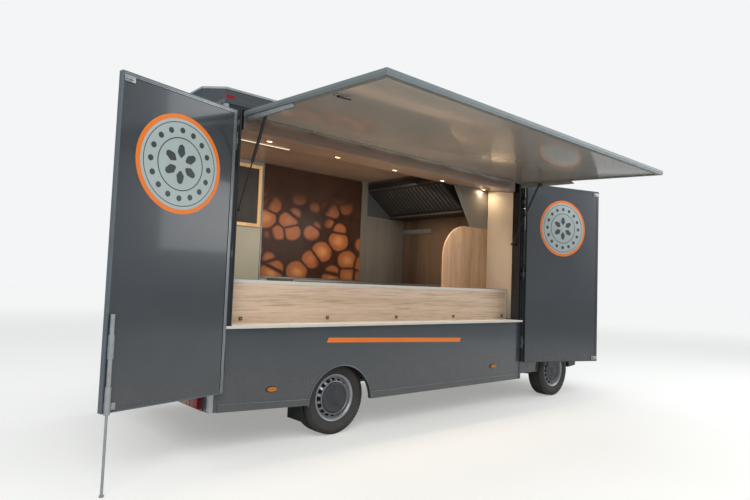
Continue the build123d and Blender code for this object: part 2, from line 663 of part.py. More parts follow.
def strut_attach():
    """Where the strut's tube is pinned to the open flap, as (Y, Z)."""
    a = math.radians(-FLAP_OPEN_ANGLE)
    dy, dz = STRUT_ATTACH_IN, -STRUT_ATTACH_DOWN
    turned_y = dy * math.cos(a) - dz * math.sin(a)
    turned_z = dy * math.sin(a) + dz * math.cos(a)
    return (FLAP_HINGE_Y + turned_y, FLAP_HINGE_Z + turned_z)


def strut_line(distance):
    """A point along the open strut from its tube's pin towards its rod's pin, as (Y, Z)."""
    top = strut_attach()
    length = math.dist(top, STRUT_PIN)
    return tuple(a + (b - a) * distance / length for a, b in zip(top, STRUT_PIN))


def strut_tube(x):
    """The strut's tube with its eye, bored for the rod."""
    top, end = strut_line(0), strut_line(STRUT_TUBE_LENGTH)
    start = strut_line(10)
    tube = rod((x, *start), (x, *end), STRUT_TUBE_RADIUS)
    tube += rod((x - 8, *top), (x + 8, *top), EYE_RADIUS)
    tube -= rod((x - 12, *top), (x + 12, *top), EYE_PIN_RADIUS + EYE_CLEARANCE)
    bore = strut_line(30)
    return tube - rod((x, *bore), (x, *strut_line(STRUT_TUBE_LENGTH + 5)), STRUT_ROD_RADIUS + EYE_CLEARANCE)


def strut_rod(x):
    """The strut's rod with its eye round the jamb's pin."""
    length = math.dist(strut_line(0), STRUT_PIN)
    start, end = strut_line(STRUT_TUBE_LENGTH - 35), strut_line(length - EYE_RADIUS + 4)
    piece = rod((x, *start), (x, *end), STRUT_ROD_RADIUS)
    piece += rod((x - 8, *STRUT_PIN), (x + 8, *STRUT_PIN), EYE_RADIUS)
    return piece - rod((x - 12, *STRUT_PIN), (x + 12, *STRUT_PIN), EYE_PIN_RADIUS + EYE_CLEARANCE)


# Wings, built straight back or straight ahead and then turned out to where they stand
WING_HINGE_Y = KERB_Y - WING_HINGE_OUT
WING_HINGES_Z = (700, 1560, 2480)
WING_KNUCKLE = 50
WING_EDGE = 30
# Each wing: its name, hinge, width and the way that it points along X
WINGS = (("rear", REAR_WING_X, REAR_WING_WIDTH, -1), ("front", FRONT_WING_X, FRONT_WING_WIDTH, 1))


def wing(axis_x, width, ahead):
    """A framed wing panel; ahead is +1 for the front one and -1 for the rear one."""
    near, far = axis_x + ahead * WING_EDGE, axis_x + ahead * width
    x = sorted((near, far))
    y = (WING_HINGE_Y - WING_THICK / 2, WING_HINGE_Y + WING_THICK / 2)
    panel = block(x, y, (WING_BOTTOM, WING_TOP))
    frame = 28
    for face in ((y[0], y[0] + 4), (y[1] - 4, y[1])):
        panel -= block((x[0] + frame, x[1] - frame), face, (WING_BOTTOM + frame, WING_TOP - frame))
    return panel


def wing_hinges(axis_x, ahead):
    """Fixed and moving halves of one wing's hinges."""
    fixed, moving = [], []
    for z in WING_HINGES_Z:
        leaf_fixed = ((-12, 0, 0), (12, WING_HINGE_OUT, 0))
        leaf_moving = ((0, -4, 0), (WING_EDGE, 4, 0)) if ahead > 0 else ((-WING_EDGE, -4, 0), (0, 4, 0))
        a, b = hinge((axis_x, WING_HINGE_Y, z), (0, 0, 1), leaf_fixed, leaf_moving, WING_KNUCKLE)
        fixed.append(a)
        moving.append(b)
    return fixed, moving


def turned_out(shape, axis_x, ahead):
    """Turn a wing's piece out to where it stands."""
    angle = -FRONT_WING_ANGLE if ahead > 0 else REAR_WING_ANGLE
    return turned(shape, (axis_x, WING_HINGE_Y, 0), (0, 0, 1), angle)


def prop_leg():
    """The leg's clamped tube and its sliding rod, on the rear wing's free edge."""
    x = REAR_WING_X - REAR_WING_WIDTH + 25
    y = WING_HINGE_Y - WING_THICK / 2 - LEG_TUBE_RADIUS - 6
    tube = rod((x, y, LEG_TUBE_BOTTOM), (x, y, LEG_TUBE_TOP), LEG_TUBE_RADIUS)
    for z in ((LEG_TUBE_BOTTOM, LEG_TUBE_BOTTOM + 180), (880, 1035)):
        tube += rod((x, y, z[0]), (x, y, z[1]), LEG_TUBE_RADIUS + 5)
        tube += block((x - 12, x + 12), (y, WING_HINGE_Y - WING_THICK / 2), (z[0] + 40, z[0] + 80))
    tube -= rod((x, y, LEG_TUBE_BOTTOM - 5), (x, y, LEG_TUBE_TOP - 6), LEG_ROD_RADIUS + LEG_CLEARANCE)
    slider = rod((x, y, 6), (x, y, LEG_ROD_TOP), LEG_ROD_RADIUS)
    slider += rod((x, y, 0), (x, y, 12), LEG_ROD_RADIUS + 6)
    return tube, slider


# Staff door
STAFF_HINGE_Y = STAFF_DOOR_Y + STAFF_DOOR_WIDTH - DOOR_GAP / 2
STAFF_HINGE_OUT = 10
STAFF_HINGES_Z = (900, 1500, 2100)


def staff_door():
    """The leaf of the rear wall's door, its middle set back inside a frame."""
    y = (STAFF_DOOR_Y + DOOR_GAP, STAFF_DOOR_Y + STAFF_DOOR_WIDTH - DOOR_GAP)
    z = (FLOOR_TOP + DOOR_GAP, STAFF_DOOR_TOP - DOOR_GAP)
    leaf = block((0, WALL), y, z)
    return leaf - block((-5, 5), (y[0] + 40, y[1] - 40), (z[0] + 40, z[1] - 40))


def staff_hinges():
    """Fixed and moving halves of the staff door's hinges."""
    fixed, moving = [], []
    for z in STAFF_HINGES_Z:
        leaf_fixed = ((STAFF_HINGE_OUT - 6, 0, 0), (STAFF_HINGE_OUT + 4, 40, 0))
        leaf_moving = ((STAFF_HINGE_OUT - 6, -40, 0), (STAFF_HINGE_OUT + 4, 0, 0))
        a, b = hinge((-STAFF_HINGE_OUT, STAFF_HINGE_Y, z), (0, 0, 1), leaf_fixed, leaf_moving, 40, radius=8)
        fixed.append(a)
        moving.append(b)
    return fixed, moving


# Cab: one form, met from the side, the front and above, and shrunk for its inside
CAB_NOSE = FRONT_AXLE_X + 950
CAB_HALF = CAB_WIDTH / 2
CAB_SIDE = [(CAB_BACK, CAB_BOTTOM), (CAB_BACK, CAB_ROOF - 60), (CAB_BACK + 60, CAB_ROOF),
            (CAB_BACK + 640, CAB_ROOF), (FRONT_AXLE_X + 440, 1340), (FRONT_AXLE_X + 800, 1160),
            (CAB_NOSE - 40, 960), (CAB_NOSE, 640), (CAB_NOSE - 20, CAB_BOTTOM)]
CAB_CROSS = [(-CAB_HALF - 1, CAB_BOTTOM - 300), (-CAB_HALF, 1150), (-CAB_HALF + 112, CAB_ROOF + 30),
             (CAB_HALF - 112, CAB_ROOF + 30), (CAB_HALF, 1150), (CAB_HALF + 1, CAB_BOTTOM - 300)]
CAB_PLAN = [(CAB_BACK - 300, -CAB_HALF - 20), (FRONT_AXLE_X + 250, -CAB_HALF - 6),
            (CAB_NOSE - 150, -CAB_HALF + 125), (CAB_NOSE + 12, -CAB_HALF + 420),
            (CAB_NOSE + 12, CAB_HALF - 420), (CAB_NOSE - 150, CAB_HALF - 125),
            (FRONT_AXLE_X + 250, CAB_HALF + 6), (CAB_BACK - 300, CAB_HALF + 20)]
CAB_CORNERS = (90, 150, 150)


def cab_form(gap):
    """The cab's outer form, or the same form shrunk by a gap on every side."""
    reach = 4000
    faces = []
    for points, corner in zip((CAB_SIDE, CAB_CROSS, CAB_PLAN), CAB_CORNERS):
        face = outline(inset_outline(points, gap))
        faces.append(fillet(face.vertices(), corner - gap))
    side = extrude(Plane.XZ.offset(-reach / 2) * faces[0], amount=reach, dir=(0, -1, 0))
    cross = extrude(Plane.YZ.offset(CAB_BACK - 200) * faces[1], amount=reach, dir=(1, 0, 0))
    plan = extrude(Plane.XY * faces[2], amount=reach, dir=(0, 0, 1))
    return side & cross & plan


DOOR_OUTLINE = [(CAB_BACK + 90, 520), (CAB_BACK + 90, 2060), (CAB_BACK + 150, 2130),
                (CAB_BACK + 560, 2130), (CAB_BACK + 844, 1750), (CAB_BACK + 844, 520)]
WINDOW_OUTLINE = [(CAB_BACK + 150, 1400), (CAB_BACK + 150, 2000), (CAB_BACK + 200, 2060),
                  (CAB_BACK + 540, 2060), (CAB_BACK + 784, 1735), (CAB_BACK + 784, 1400)]
QUARTER_OUTLINE = [(CAB_BACK + 880, 1410), (CAB_BACK + 880, 1640), (CAB_BACK + 1050, 1410)]
SCREEN_OUTLINE = [(-850, 1390), (-760, 2170), (760, 2170), (850, 1390)]
CAB_FLOOR_TOP = 560
FIREWALL_X = (FRONT_AXLE_X + 300, FRONT_AXLE_X + 330)
CAB_HINGE_X = CAB_BACK + 844 - DOOR_GAP / 2
CAB_HINGE_Y = CAB_HALF + CAB_HINGE_OUT
BONNET_X = (FRONT_AXLE_X + 470, FRONT_AXLE_X + 850)
BONNET_HALF = 760
BUMPER_TOP = 660
LAMP_Y = (560, 860)
LAMP_Z = (770, 990)
GRILLE_HALF = 480
GRILLE_Z = (730, 930)


def both_sides(solid):
    """A piece on the left with its mirror image on the right."""
    return solid + mirrored(solid)


def wheelhouse(radius, inner_y):
    """The round space over the left front wheel."""
    return disc_y(FRONT_AXLE_X, TYRE_RADIUS, radius, (inner_y, CAB_HALF + 30))


def cab_cuts():
    """The prisms along which the cab's panels and windows part."""
    side_y = (CAB_HALF - 200, CAB_HALF + 50)
    door = side_profile(DOOR_OUTLINE, side_y) - wheelhouse(CAB_ARCH_RADIUS + 25, 0)
    window = side_profile(WINDOW_OUTLINE, side_y)
    quarter = side_profile(QUARTER_OUTLINE, side_y)
    screen = cross_profile(SCREEN_OUTLINE, (CAB_BACK + 600, FRONT_AXLE_X + 600))
    bonnet = block(BONNET_X, (-BONNET_HALF, BONNET_HALF), (1000, 1400))
    bumper_x = (FRONT_AXLE_X + 480, CAB_NOSE + 10)
    bumper = block(bumper_x, (-CAB_HALF - 5, CAB_HALF + 5), (CAB_BOTTOM - 5, BUMPER_TOP))
    lamp = block((CAB_NOSE - 320, CAB_NOSE + 10), LAMP_Y, LAMP_Z)
    grille = block((CAB_NOSE - 200, CAB_NOSE + 10), (-GRILLE_HALF, GRILLE_HALF), GRILLE_Z)
    return {"door": door, "window": window, "quarter": quarter, "screen": screen, "bonnet": bonnet,
            "bumper": bumper, "lamp": lamp, "grille": grille}


def cab_door_hinge(z):
    """One outside hinge of the left cab door: its fixed and moving halves."""
    reach = CAB_HINGE_OUT + 12
    leaf_fixed = ((0, -reach, 0), (45, -4, 0))
    leaf_moving = ((-45, -reach, 0), (0, -4, 0))
    return hinge((CAB_HINGE_X, CAB_HINGE_Y, z), (0, 0, 1), leaf_fixed, leaf_moving, 30, radius=8)


BONNET_KNUCKLE = 30
BONNET_HINGE_X = BONNET_X[0] + DOOR_GAP / 2
BONNET_HINGE_Z = 1332


def bonnet_hinge(y):
    """One hinge at the bonnet's rear edge: its fixed and moving halves."""
    leaf_fixed = ((-45, 0, -30), (0, 0, -4))
    leaf_moving = ((0, 0, -36), (18, 0, -6))
    base = (BONNET_HINGE_X, y, BONNET_HINGE_Z)
    return hinge(base, (0, 1, 0), leaf_fixed, leaf_moving, BONNET_KNUCKLE, radius=7)


def cab():
    """Every piece of the cab, by node name."""
    outer, inner = cab_form(0), cab_form(CAB_WALL)
    panes = cab_form(GLASS_INSET) - cab_form(GLASS_INSET + GLASS_THICK)
    cuts = cab_cuts()
    walls = outer - inner
    cabin = inner & block((CAB_BACK, FIREWALL_X[0]), (-CAB_HALF, CAB_HALF), (CAB_FLOOR_TOP, CAB_ROOF))
    bay_block = block((FIREWALL_X[1], CAB_NOSE), (-CAB_HALF, CAB_HALF), (0, CAB_ROOF))
    bay = (inner + inner.moved(Location((0, 0, -200)))) & bay_block
    under_y = (-CAB_HALF + 130, CAB_HALF - 130)
    under = block((CAB_BACK - 10, FIREWALL_X[1]), under_y, (CAB_BOTTOM - 10, FLOOR_BOTTOM))
    shell = outer - cabin - bay - under
    house = wheelhouse(CAB_ARCH_RADIUS, 600)
    liner = wheelhouse(CAB_ARCH_RADIUS + 12, 588) & outer
    liner = liner & block((0, CAB_NOSE), (0, CAB_HALF), (FLOOR_BOTTOM, CAB_ROOF))
    shell = shell + both_sides(liner) - both_sides(house)
    for name in ("door", "quarter", "lamp"):
        shell -= both_sides(cuts[name])
    for name in ("screen", "bonnet", "bumper", "grille"):
        shell -= cuts[name]

    pieces = {}
    gap = DOOR_GAP
    side_y = (CAB_HALF - 200, CAB_HALF + 50)
    door_prism = side_profile(inset_outline(DOOR_OUTLINE, gap), side_y)
    door_prism -= wheelhouse(CAB_ARCH_RADIUS + 25 + gap, 0)
    door = (walls & door_prism) - cuts["window"]
    mirror_x = CAB_BACK + 760
    arm = block((mirror_x - 20, mirror_x + 20), (CAB_HALF - 50, CAB_HALF + 90), (1350, 1392))
    house_block = block((mirror_x - 40, mirror_x + 40), (CAB_HALF + 50, CAB_HALF + 225), (1350, 1690))
    house_block = fillet(house_block.edges(), 18)
    door += arm + house_block
    for z in (840, 1060):
        fixed, moving = cab_door_hinge(z)
        door += moving
        shell += both_sides(fixed)
    pieces["cab_door_left"] = door
    pieces["cab_door_right"] = mirrored(door)
    door_pane = panes & cuts["window"]
    pieces["door_glass_left"] = door_pane
    quarter = panes & cuts["quarter"]
    pieces["cab_glass"] = [panes & cuts["screen"], quarter, mirrored(quarter), mirrored(door_pane)]

    bonnet_y = (-BONNET_HALF + gap, BONNET_HALF - gap)
    bonnet = walls & block((BONNET_X[0] + gap, BONNET_X[1] - gap), bonnet_y, (1000, 1400))
    for y in (-520, 520 - 3 * BONNET_KNUCKLE):
        fixed, moving = bonnet_hinge(y)
        bonnet += moving
        shell += fixed
    pieces["cab_shell"] = shell
    pieces["bonnet"] = bonnet
    open_y = (-CAB_HALF + 150, CAB_HALF - 150)
    open_below = block((CAB_BACK, CAB_NOSE - 75), open_y, (0, CAB_BOTTOM + CAB_WALL + 5))
    bumper = (walls & cuts["bumper"]) - both_sides(wheelhouse(CAB_ARCH_RADIUS, 0))
    pieces["bumper"] = bumper - open_below
    lamp = (outer & cuts["lamp"]) - cab_form(CAB_WALL + 30)
    pieces["headlamps"] = [lamp, mirrored(lamp)]
    pieces["grille"] = grille_bars()
    return pieces


GRILLE_BARS = 5


def grille_bars():
    """The grille: a frame with level bars, seated in the nose."""
    x = (CAB_NOSE - 60, CAB_NOSE - 35)
    frame = block(x, (-GRILLE_HALF, GRILLE_HALF), GRILLE_Z)
    height = (GRILLE_Z[1] - GRILLE_Z[0]) / GRILLE_BARS
    for k in range(GRILLE_BARS):
        low = GRILLE_Z[0] + k * height + 9
        frame -= block((x[0] - 5, x[1] + 5), (-GRILLE_HALF + 20, GRILLE_HALF - 20), (low, low + height - 18))
    return frame


SEAT_BASE_TOP = 820
SEAT_CUSHION = 130
SEAT_BACK_TOP = 1500
HEAD_REST = 200


def seat(y, width):
    """A seat: base, cushion and raked back."""
    back = CAB_BACK + CAB_WALL + 30
    foot_y = (y - width / 2 + 30, y + width / 2 - 30)
    base = block((back + 60, back + 400), foot_y, (CAB_FLOOR_TOP, SEAT_BASE_TOP))
    low, high, top = SEAT_BASE_TOP, SEAT_BASE_TOP + SEAT_CUSHION, SEAT_BACK_TOP
    cushion = fillet(block((back + 60, back + 530), (y - width / 2, y + width / 2), (low, high)).edges(), 30)
    raked = [(back + 90, high - 20), (back + 190, high - 20), (back + 120, top), (back + 30, top)]
    rest = side_profile(raked, (y - width / 2 + 10, y + width / 2 - 10))
    rest = fillet(rest.edges().filter_by(Axis.Y), 30)
    head = block((back + 20, back + 110), (y - 130, y + 130), (top - 10, top - 10 + HEAD_REST))
    head = fillet(head.edges(), 30)
    return base + cushion + rest + head


def dashboard():
    """The dashboard across the cab."""
    front = FIREWALL_X[0]
    section = [(front, 860), (front, 1290), (front - 60, 1300),
               (front - 210, 1230), (front - 250, 1080), (front - 180, 900)]
    return side_profile(section, (-CAB_HALF + 72, CAB_HALF - 72))


WHEEL_TILT = 35
STEER_Y = 420
STEER_POINT = (FIREWALL_X[0] - 330, STEER_Y, 1160)
STEER_RADIUS = 195


def steering():
    """The steering column's end and the steering wheel on it."""
    tilt = math.radians(90 - WHEEL_TILT)
    plane = Plane(origin=STEER_POINT, z_dir=(-math.sin(tilt), 0, math.cos(tilt)))
    ring = Torus(STEER_RADIUS, 14)
    hub = Cylinder(55, 34)
    spokes = Box(2 * STEER_RADIUS - 10, 34, 14)
    spokes += Pos(0, -STEER_RADIUS / 2, 0) * Box(34, STEER_RADIUS - 10, 14)
    wheel = ring + hub + spokes - Cylinder(16.1, 60)
    column = Cylinder(16, 60) + Pos(0, 0, -95) * Cylinder(30, 150)
    return plane * wheel, plane * column


# Small fittings
def rear_lamps():
    """The lamp units on the rear bumper and the marker lamps at the roof's rear corners."""
    lamp_z = (SKIRT_REAR_BOTTOM + 15, SKIRT_REAR_BOTTOM + 105)
    lamp = block((BUMPER_BACK - 28, BUMPER_BACK), (HALF_WIDTH - 390, HALF_WIDTH - 120), lamp_z)
    kerb_marker = block((20, 90), (KERB_Y + 15, KERB_Y + 60), (EAVES_TOP, EAVES_TOP + 38))
    far_marker = block((-22, 0), (FAR_Y - 60, FAR_Y - 15), (EAVES_TOP + 50, EAVES_TOP + 120))
    return [lamp, mirrored(lamp), far_marker, kerb_marker]


BUMPER_BACK = -10
TOW_EYE = (-42, 430)
TOW_EYE_RADIUS = 28
TOW_EYE_BORE = 14
TOW_EYE_HALF = 11


def rear_bumper():
    """The rear valance across the frame's ends, with its level towing eye."""
    valance_y = (KERB_Y + POST_DEPTH, FAR_Y - WALL)
    valance = block((BUMPER_BACK, WALL), valance_y, (SKIRT_REAR_BOTTOM, FLOOR_BOTTOM))
    x, z = TOW_EYE
    low, high = z - TOW_EYE_HALF, z + TOW_EYE_HALF
    half = TOW_EYE_BORE + 6
    eye = rod((x, 0, low), (x, 0, high), TOW_EYE_RADIUS)
    eye += block((x, BUMPER_BACK + 1), (-half, half), (low, high))
    return valance + (eye - rod((x, 0, low - 5), (x, 0, high + 5), TOW_EYE_BORE))


MARKERS = ((565, 507), (BODY_LENGTH - 573, 507))


def side_markers():
    """The oval amber lamps along both skirts."""
    lamps = []
    for x, z in MARKERS:
        face = Plane.XZ.offset(-KERB_Y) * Pos(x, z) * Ellipse(48, 20)
        lamp = extrude(face, amount=14, dir=(0, -1, 0))
        lamps += [lamp, mirrored(lamp)]
    return lamps


TANK_X = (REAR_AXLE_X + 980, REAR_AXLE_X + 1780)
TANK_Y = (RAIL_SPREAD / 2 + 50, HALF_WIDTH - 200)
TANK_Z = (345, FLOOR_BOTTOM - 20)
STRAP_INSET = 60


def fuel_tank():
    """The tank beside the left rail, hung from the floor."""
    tank = fillet(block(TANK_X, TANK_Y, TANK_Z).edges().filter_by(Axis.X), 40)
    for x in (TANK_X[0] + 150, TANK_X[1] - 150):
        strap_y = (TANK_Y[0] + STRAP_INSET, TANK_Y[1] - STRAP_INSET)
        tank += block((x - 20, x + 20), strap_y, (TANK_Z[1] - 10, FLOOR_BOTTOM))
    return tank


EXHAUST_X = (REAR_AXLE_X + 580, BODY_LENGTH - 50)
SILENCER_LENGTH = 650
SILENCER_RADIUS = 75
EXHAUST_RADIUS = 24


def exhaust():
    """Silencer and pipes beside the right rail, hung from the floor."""
    y, z = -RAIL_SPREAD / 2 - 210, FLOOR_BOTTOM - 90
    start = EXHAUST_X[0] + 600
    system = rod((start, y, z), (start + SILENCER_LENGTH, y, z), SILENCER_RADIUS)
    system += rod((EXHAUST_X[0], y, z), (EXHAUST_X[1], y, z), EXHAUST_RADIUS)
    for x in (EXHAUST_X[0] + 100, start + 200, EXHAUST_X[1] - 150):
        system += block((x - 15, x + 15), (y - 6, y + 6), (z, FLOOR_BOTTOM))
    return system


def engine_block():
    """Engine and gearbox as one heavy block across the nose."""
    half = RAIL_SPREAD / 2 - RAIL_WIDTH / 2
    return block((FRONT_AXLE_X + 370, CAB_NOSE - 170), (-half, half), (RAIL_BOTTOM - 30, 1000))


def build():
    """Make every node's file."""
    os.makedirs("parts", exist_ok=True)
    save("chassis_frame", chassis_frame())
    save("rear_axle", rear_axle())
    save("front_suspension", *front_suspension())
    left_knuckle = knuckle()
    save("knuckle_left", left_knuckle)
    save("knuckle_right", mirrored(left_knuckle))
    save("engine_block", engine_block())
    save("fuel_tank", fuel_tank())
    save("exhaust", exhaust())
    rim_piece, tyre_piece = rim(), tyre()
    for axle, x in (("front", FRONT_AXLE_X), ("rear", REAR_AXLE_X)):
        for side, sign_y in (("left", 1), ("right", -1)):
            save(f"rim_{axle}_{side}", at_wheel(rim_piece, x, sign_y))
            save(f"tyre_{axle}_{side}", at_wheel(tyre_piece, x, sign_y))

    save("body_floor", body_floor())
    rear_post, front_post = kerb_posts()
    lower_wall = kerb_wall()
    for name, x, width, ahead in WINGS:
        fixed, moving = wing_hinges(x, ahead)
        save(f"wing_{name}", turned_out(wing(x, width, ahead) + moving, x, ahead))
        if ahead > 0:
            front_post += fixed
        else:
            lower_wall += fixed[0]
            rear_post += fixed[1:]
    tube, slider = prop_leg()
    save("prop_tube", turned_out(tube, REAR_WING_X, -1))
    save("prop_leg", turned_out(slider, REAR_WING_X, -1))

    for name, x, inward in STRUTS:
        centre = x + inward * STRUT_OFFSET
        save(f"strut_tube_{name}", strut_tube(centre))
        save(f"strut_rod_{name}", strut_rod(centre))
        if inward > 0:
            rear_post += rod((HATCH_REAR_X - 5, *STRUT_PIN), (centre + 12, *STRUT_PIN), EYE_PIN_RADIUS)
        else:
            front_post += rod((HATCH_FRONT_X + 5, *STRUT_PIN), (centre - 12, *STRUT_PIN), EYE_PIN_RADIUS)
    save("kerb_posts", rear_post, front_post)
    save("kerb_wall", lower_wall)
    save("far_wall", far_wall())
    save("front_wall", front_wall())

    flap_fixed, flap_moving = flap_hinges()
    save("header", header() + flap_fixed)
    save("flap", opened(flap_panel() + flap_moving))
    staff_fixed, staff_moving = staff_hinges()
    save("rear_wall", rear_wall() + staff_fixed)
    save("staff_door", staff_door() + staff_moving)
    save("roof", roof())
    save("ceiling", ceiling())
    save("shelf", shelf())
    save("counter", counter())
    save("kitchen_counter", kitchen_counter())
    save("exhaust_hood", exhaust_hood())
    save("wood_screen", wood_screen())
    save("side_panel", side_panel())

    for name, piece in cab().items():
        save(name, *(piece if isinstance(piece, list) else [piece]))
    save("seats", seat(STEER_Y, 500), seat(-330, 780))
    wheel, column = steering()
    save("dashboard", dashboard() + column)
    save("steering_wheel", wheel)
    save("rear_lamps", *rear_lamps())
    save("rear_bumper", rear_bumper())
    save("side_markers", *side_markers())


build()
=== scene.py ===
"""Looks of a light food truck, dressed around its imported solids.

Sizes are the vehicle's own millimetres: X forward from the body's rear face, Y to the left of
the centreline, Z up from the ground. The kerb side, with the serving hatch, lies on -Y.
"""

import json
import logging
import math
from dataclasses import dataclass
from enum import Enum
from functools import cache

import bmesh
import bpy
from mathutils import Matrix, Vector
from mathutils.bvhtree import BVHTree

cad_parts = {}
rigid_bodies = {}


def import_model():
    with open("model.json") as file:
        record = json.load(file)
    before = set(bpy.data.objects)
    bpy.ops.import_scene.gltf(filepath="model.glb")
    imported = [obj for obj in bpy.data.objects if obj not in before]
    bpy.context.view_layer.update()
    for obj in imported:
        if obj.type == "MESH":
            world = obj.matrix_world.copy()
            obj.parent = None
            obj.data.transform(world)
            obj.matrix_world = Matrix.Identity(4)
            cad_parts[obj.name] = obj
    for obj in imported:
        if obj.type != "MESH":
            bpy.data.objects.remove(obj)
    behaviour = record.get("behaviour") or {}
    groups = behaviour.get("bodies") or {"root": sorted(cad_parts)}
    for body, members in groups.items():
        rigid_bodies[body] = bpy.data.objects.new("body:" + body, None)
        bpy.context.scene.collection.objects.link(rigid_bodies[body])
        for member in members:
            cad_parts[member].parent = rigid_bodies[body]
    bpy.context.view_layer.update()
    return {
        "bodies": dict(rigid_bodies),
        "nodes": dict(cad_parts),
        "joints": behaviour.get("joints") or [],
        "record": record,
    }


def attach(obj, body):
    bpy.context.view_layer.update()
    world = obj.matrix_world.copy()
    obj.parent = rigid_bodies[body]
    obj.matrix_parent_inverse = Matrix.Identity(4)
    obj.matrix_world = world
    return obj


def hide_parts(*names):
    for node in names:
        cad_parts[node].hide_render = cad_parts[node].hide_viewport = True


log = logging.getLogger("food_truck")

MM = 0.001
ORIGIN = Vector((2580, -790, 0))
BODY_LENGTH = 4200
KERB_Y = -1100
FAR_Y = 1100
SHELF_TOP = 1055
EAVES_TOP = 2900
ROOF_TOP = 3100
ROOF_STEP_Y = -650
FLAP_HINGE = Vector((0, KERB_Y - 6, 2830))
FLAP_OPEN = 87
FLAP_X = (168, 4105)
FLAP_Z = (1063, 2818)
FLAP_THICK = 40
WING_HINGE_Y = KERB_Y - 35
WING_Z = (526, 2800)
WING_HALF = 20
HATCH_X = (160, 4113)
REAR_AXLE_X = 1320
FRONT_AXLE_X = 5120
WHEEL_Y = 920
TYRE_RADIUS = 345
TYRE_WIDTH = 215

Tree = bpy.types.NodeTree
Socket = bpy.types.NodeSocket
Point = tuple[float, float, float]
Span = tuple[float, float]
Flat = list[Span] | tuple[Span, ...]
Path = list[Vector | Point]

X_AXIS, Y_AXIS, Z_AXIS = Vector((1, 0, 0)), Vector((0, 1, 0)), Vector((0, 0, 1))
HERE = (0.0, 0.0, 0.0)


def linear(code: str) -> Point:
    """Turn an sRGB hex code into linear colour."""
    parts = [int(code[k:k + 2], 16) / 255 for k in (1, 3, 5)]
    return tuple(c / 12.92 if c <= 0.04045 else ((c + 0.055) / 1.055) ** 2.4 for c in parts)


def rgba(code: str) -> tuple[float, float, float, float]:
    """A hex code as an opaque linear colour."""
    return (*linear(code), 1.0)


def add_node(tree: Tree, kind: str, inputs: dict | None = None, **settings) -> bpy.types.Node:
    """Add one node, set it and link it.

    Args:
        tree: the node tree that takes it.
        kind: the node's type name.
        inputs: values, or sockets to link from, by the input's name or number.
        **settings: the node's own properties.

    Returns:
        The new node.
    """
    node = tree.nodes.new(kind)
    for key, value in settings.items():
        setattr(node, key, value)
    for key, value in (inputs or {}).items():
        socket = node.inputs[key]
        if isinstance(value, Socket):
            tree.links.new(value, socket)
        else:
            socket.default_value = value
    return node


# Finishes

# A wave texture at scale s repeats every pi / 10 s metres
WAVE_SCALE = 314


class Grain(Enum):
    """The direction in which a finish is drawn out."""

    NONE = (1.0, 1.0, 1.0)
    ALONG_X = (0.028, 1.0, 1.0)
    ALONG_Z = (1.0, 1.0, 0.05)
    ALONG_XY = (0.07, 0.07, 1.0)


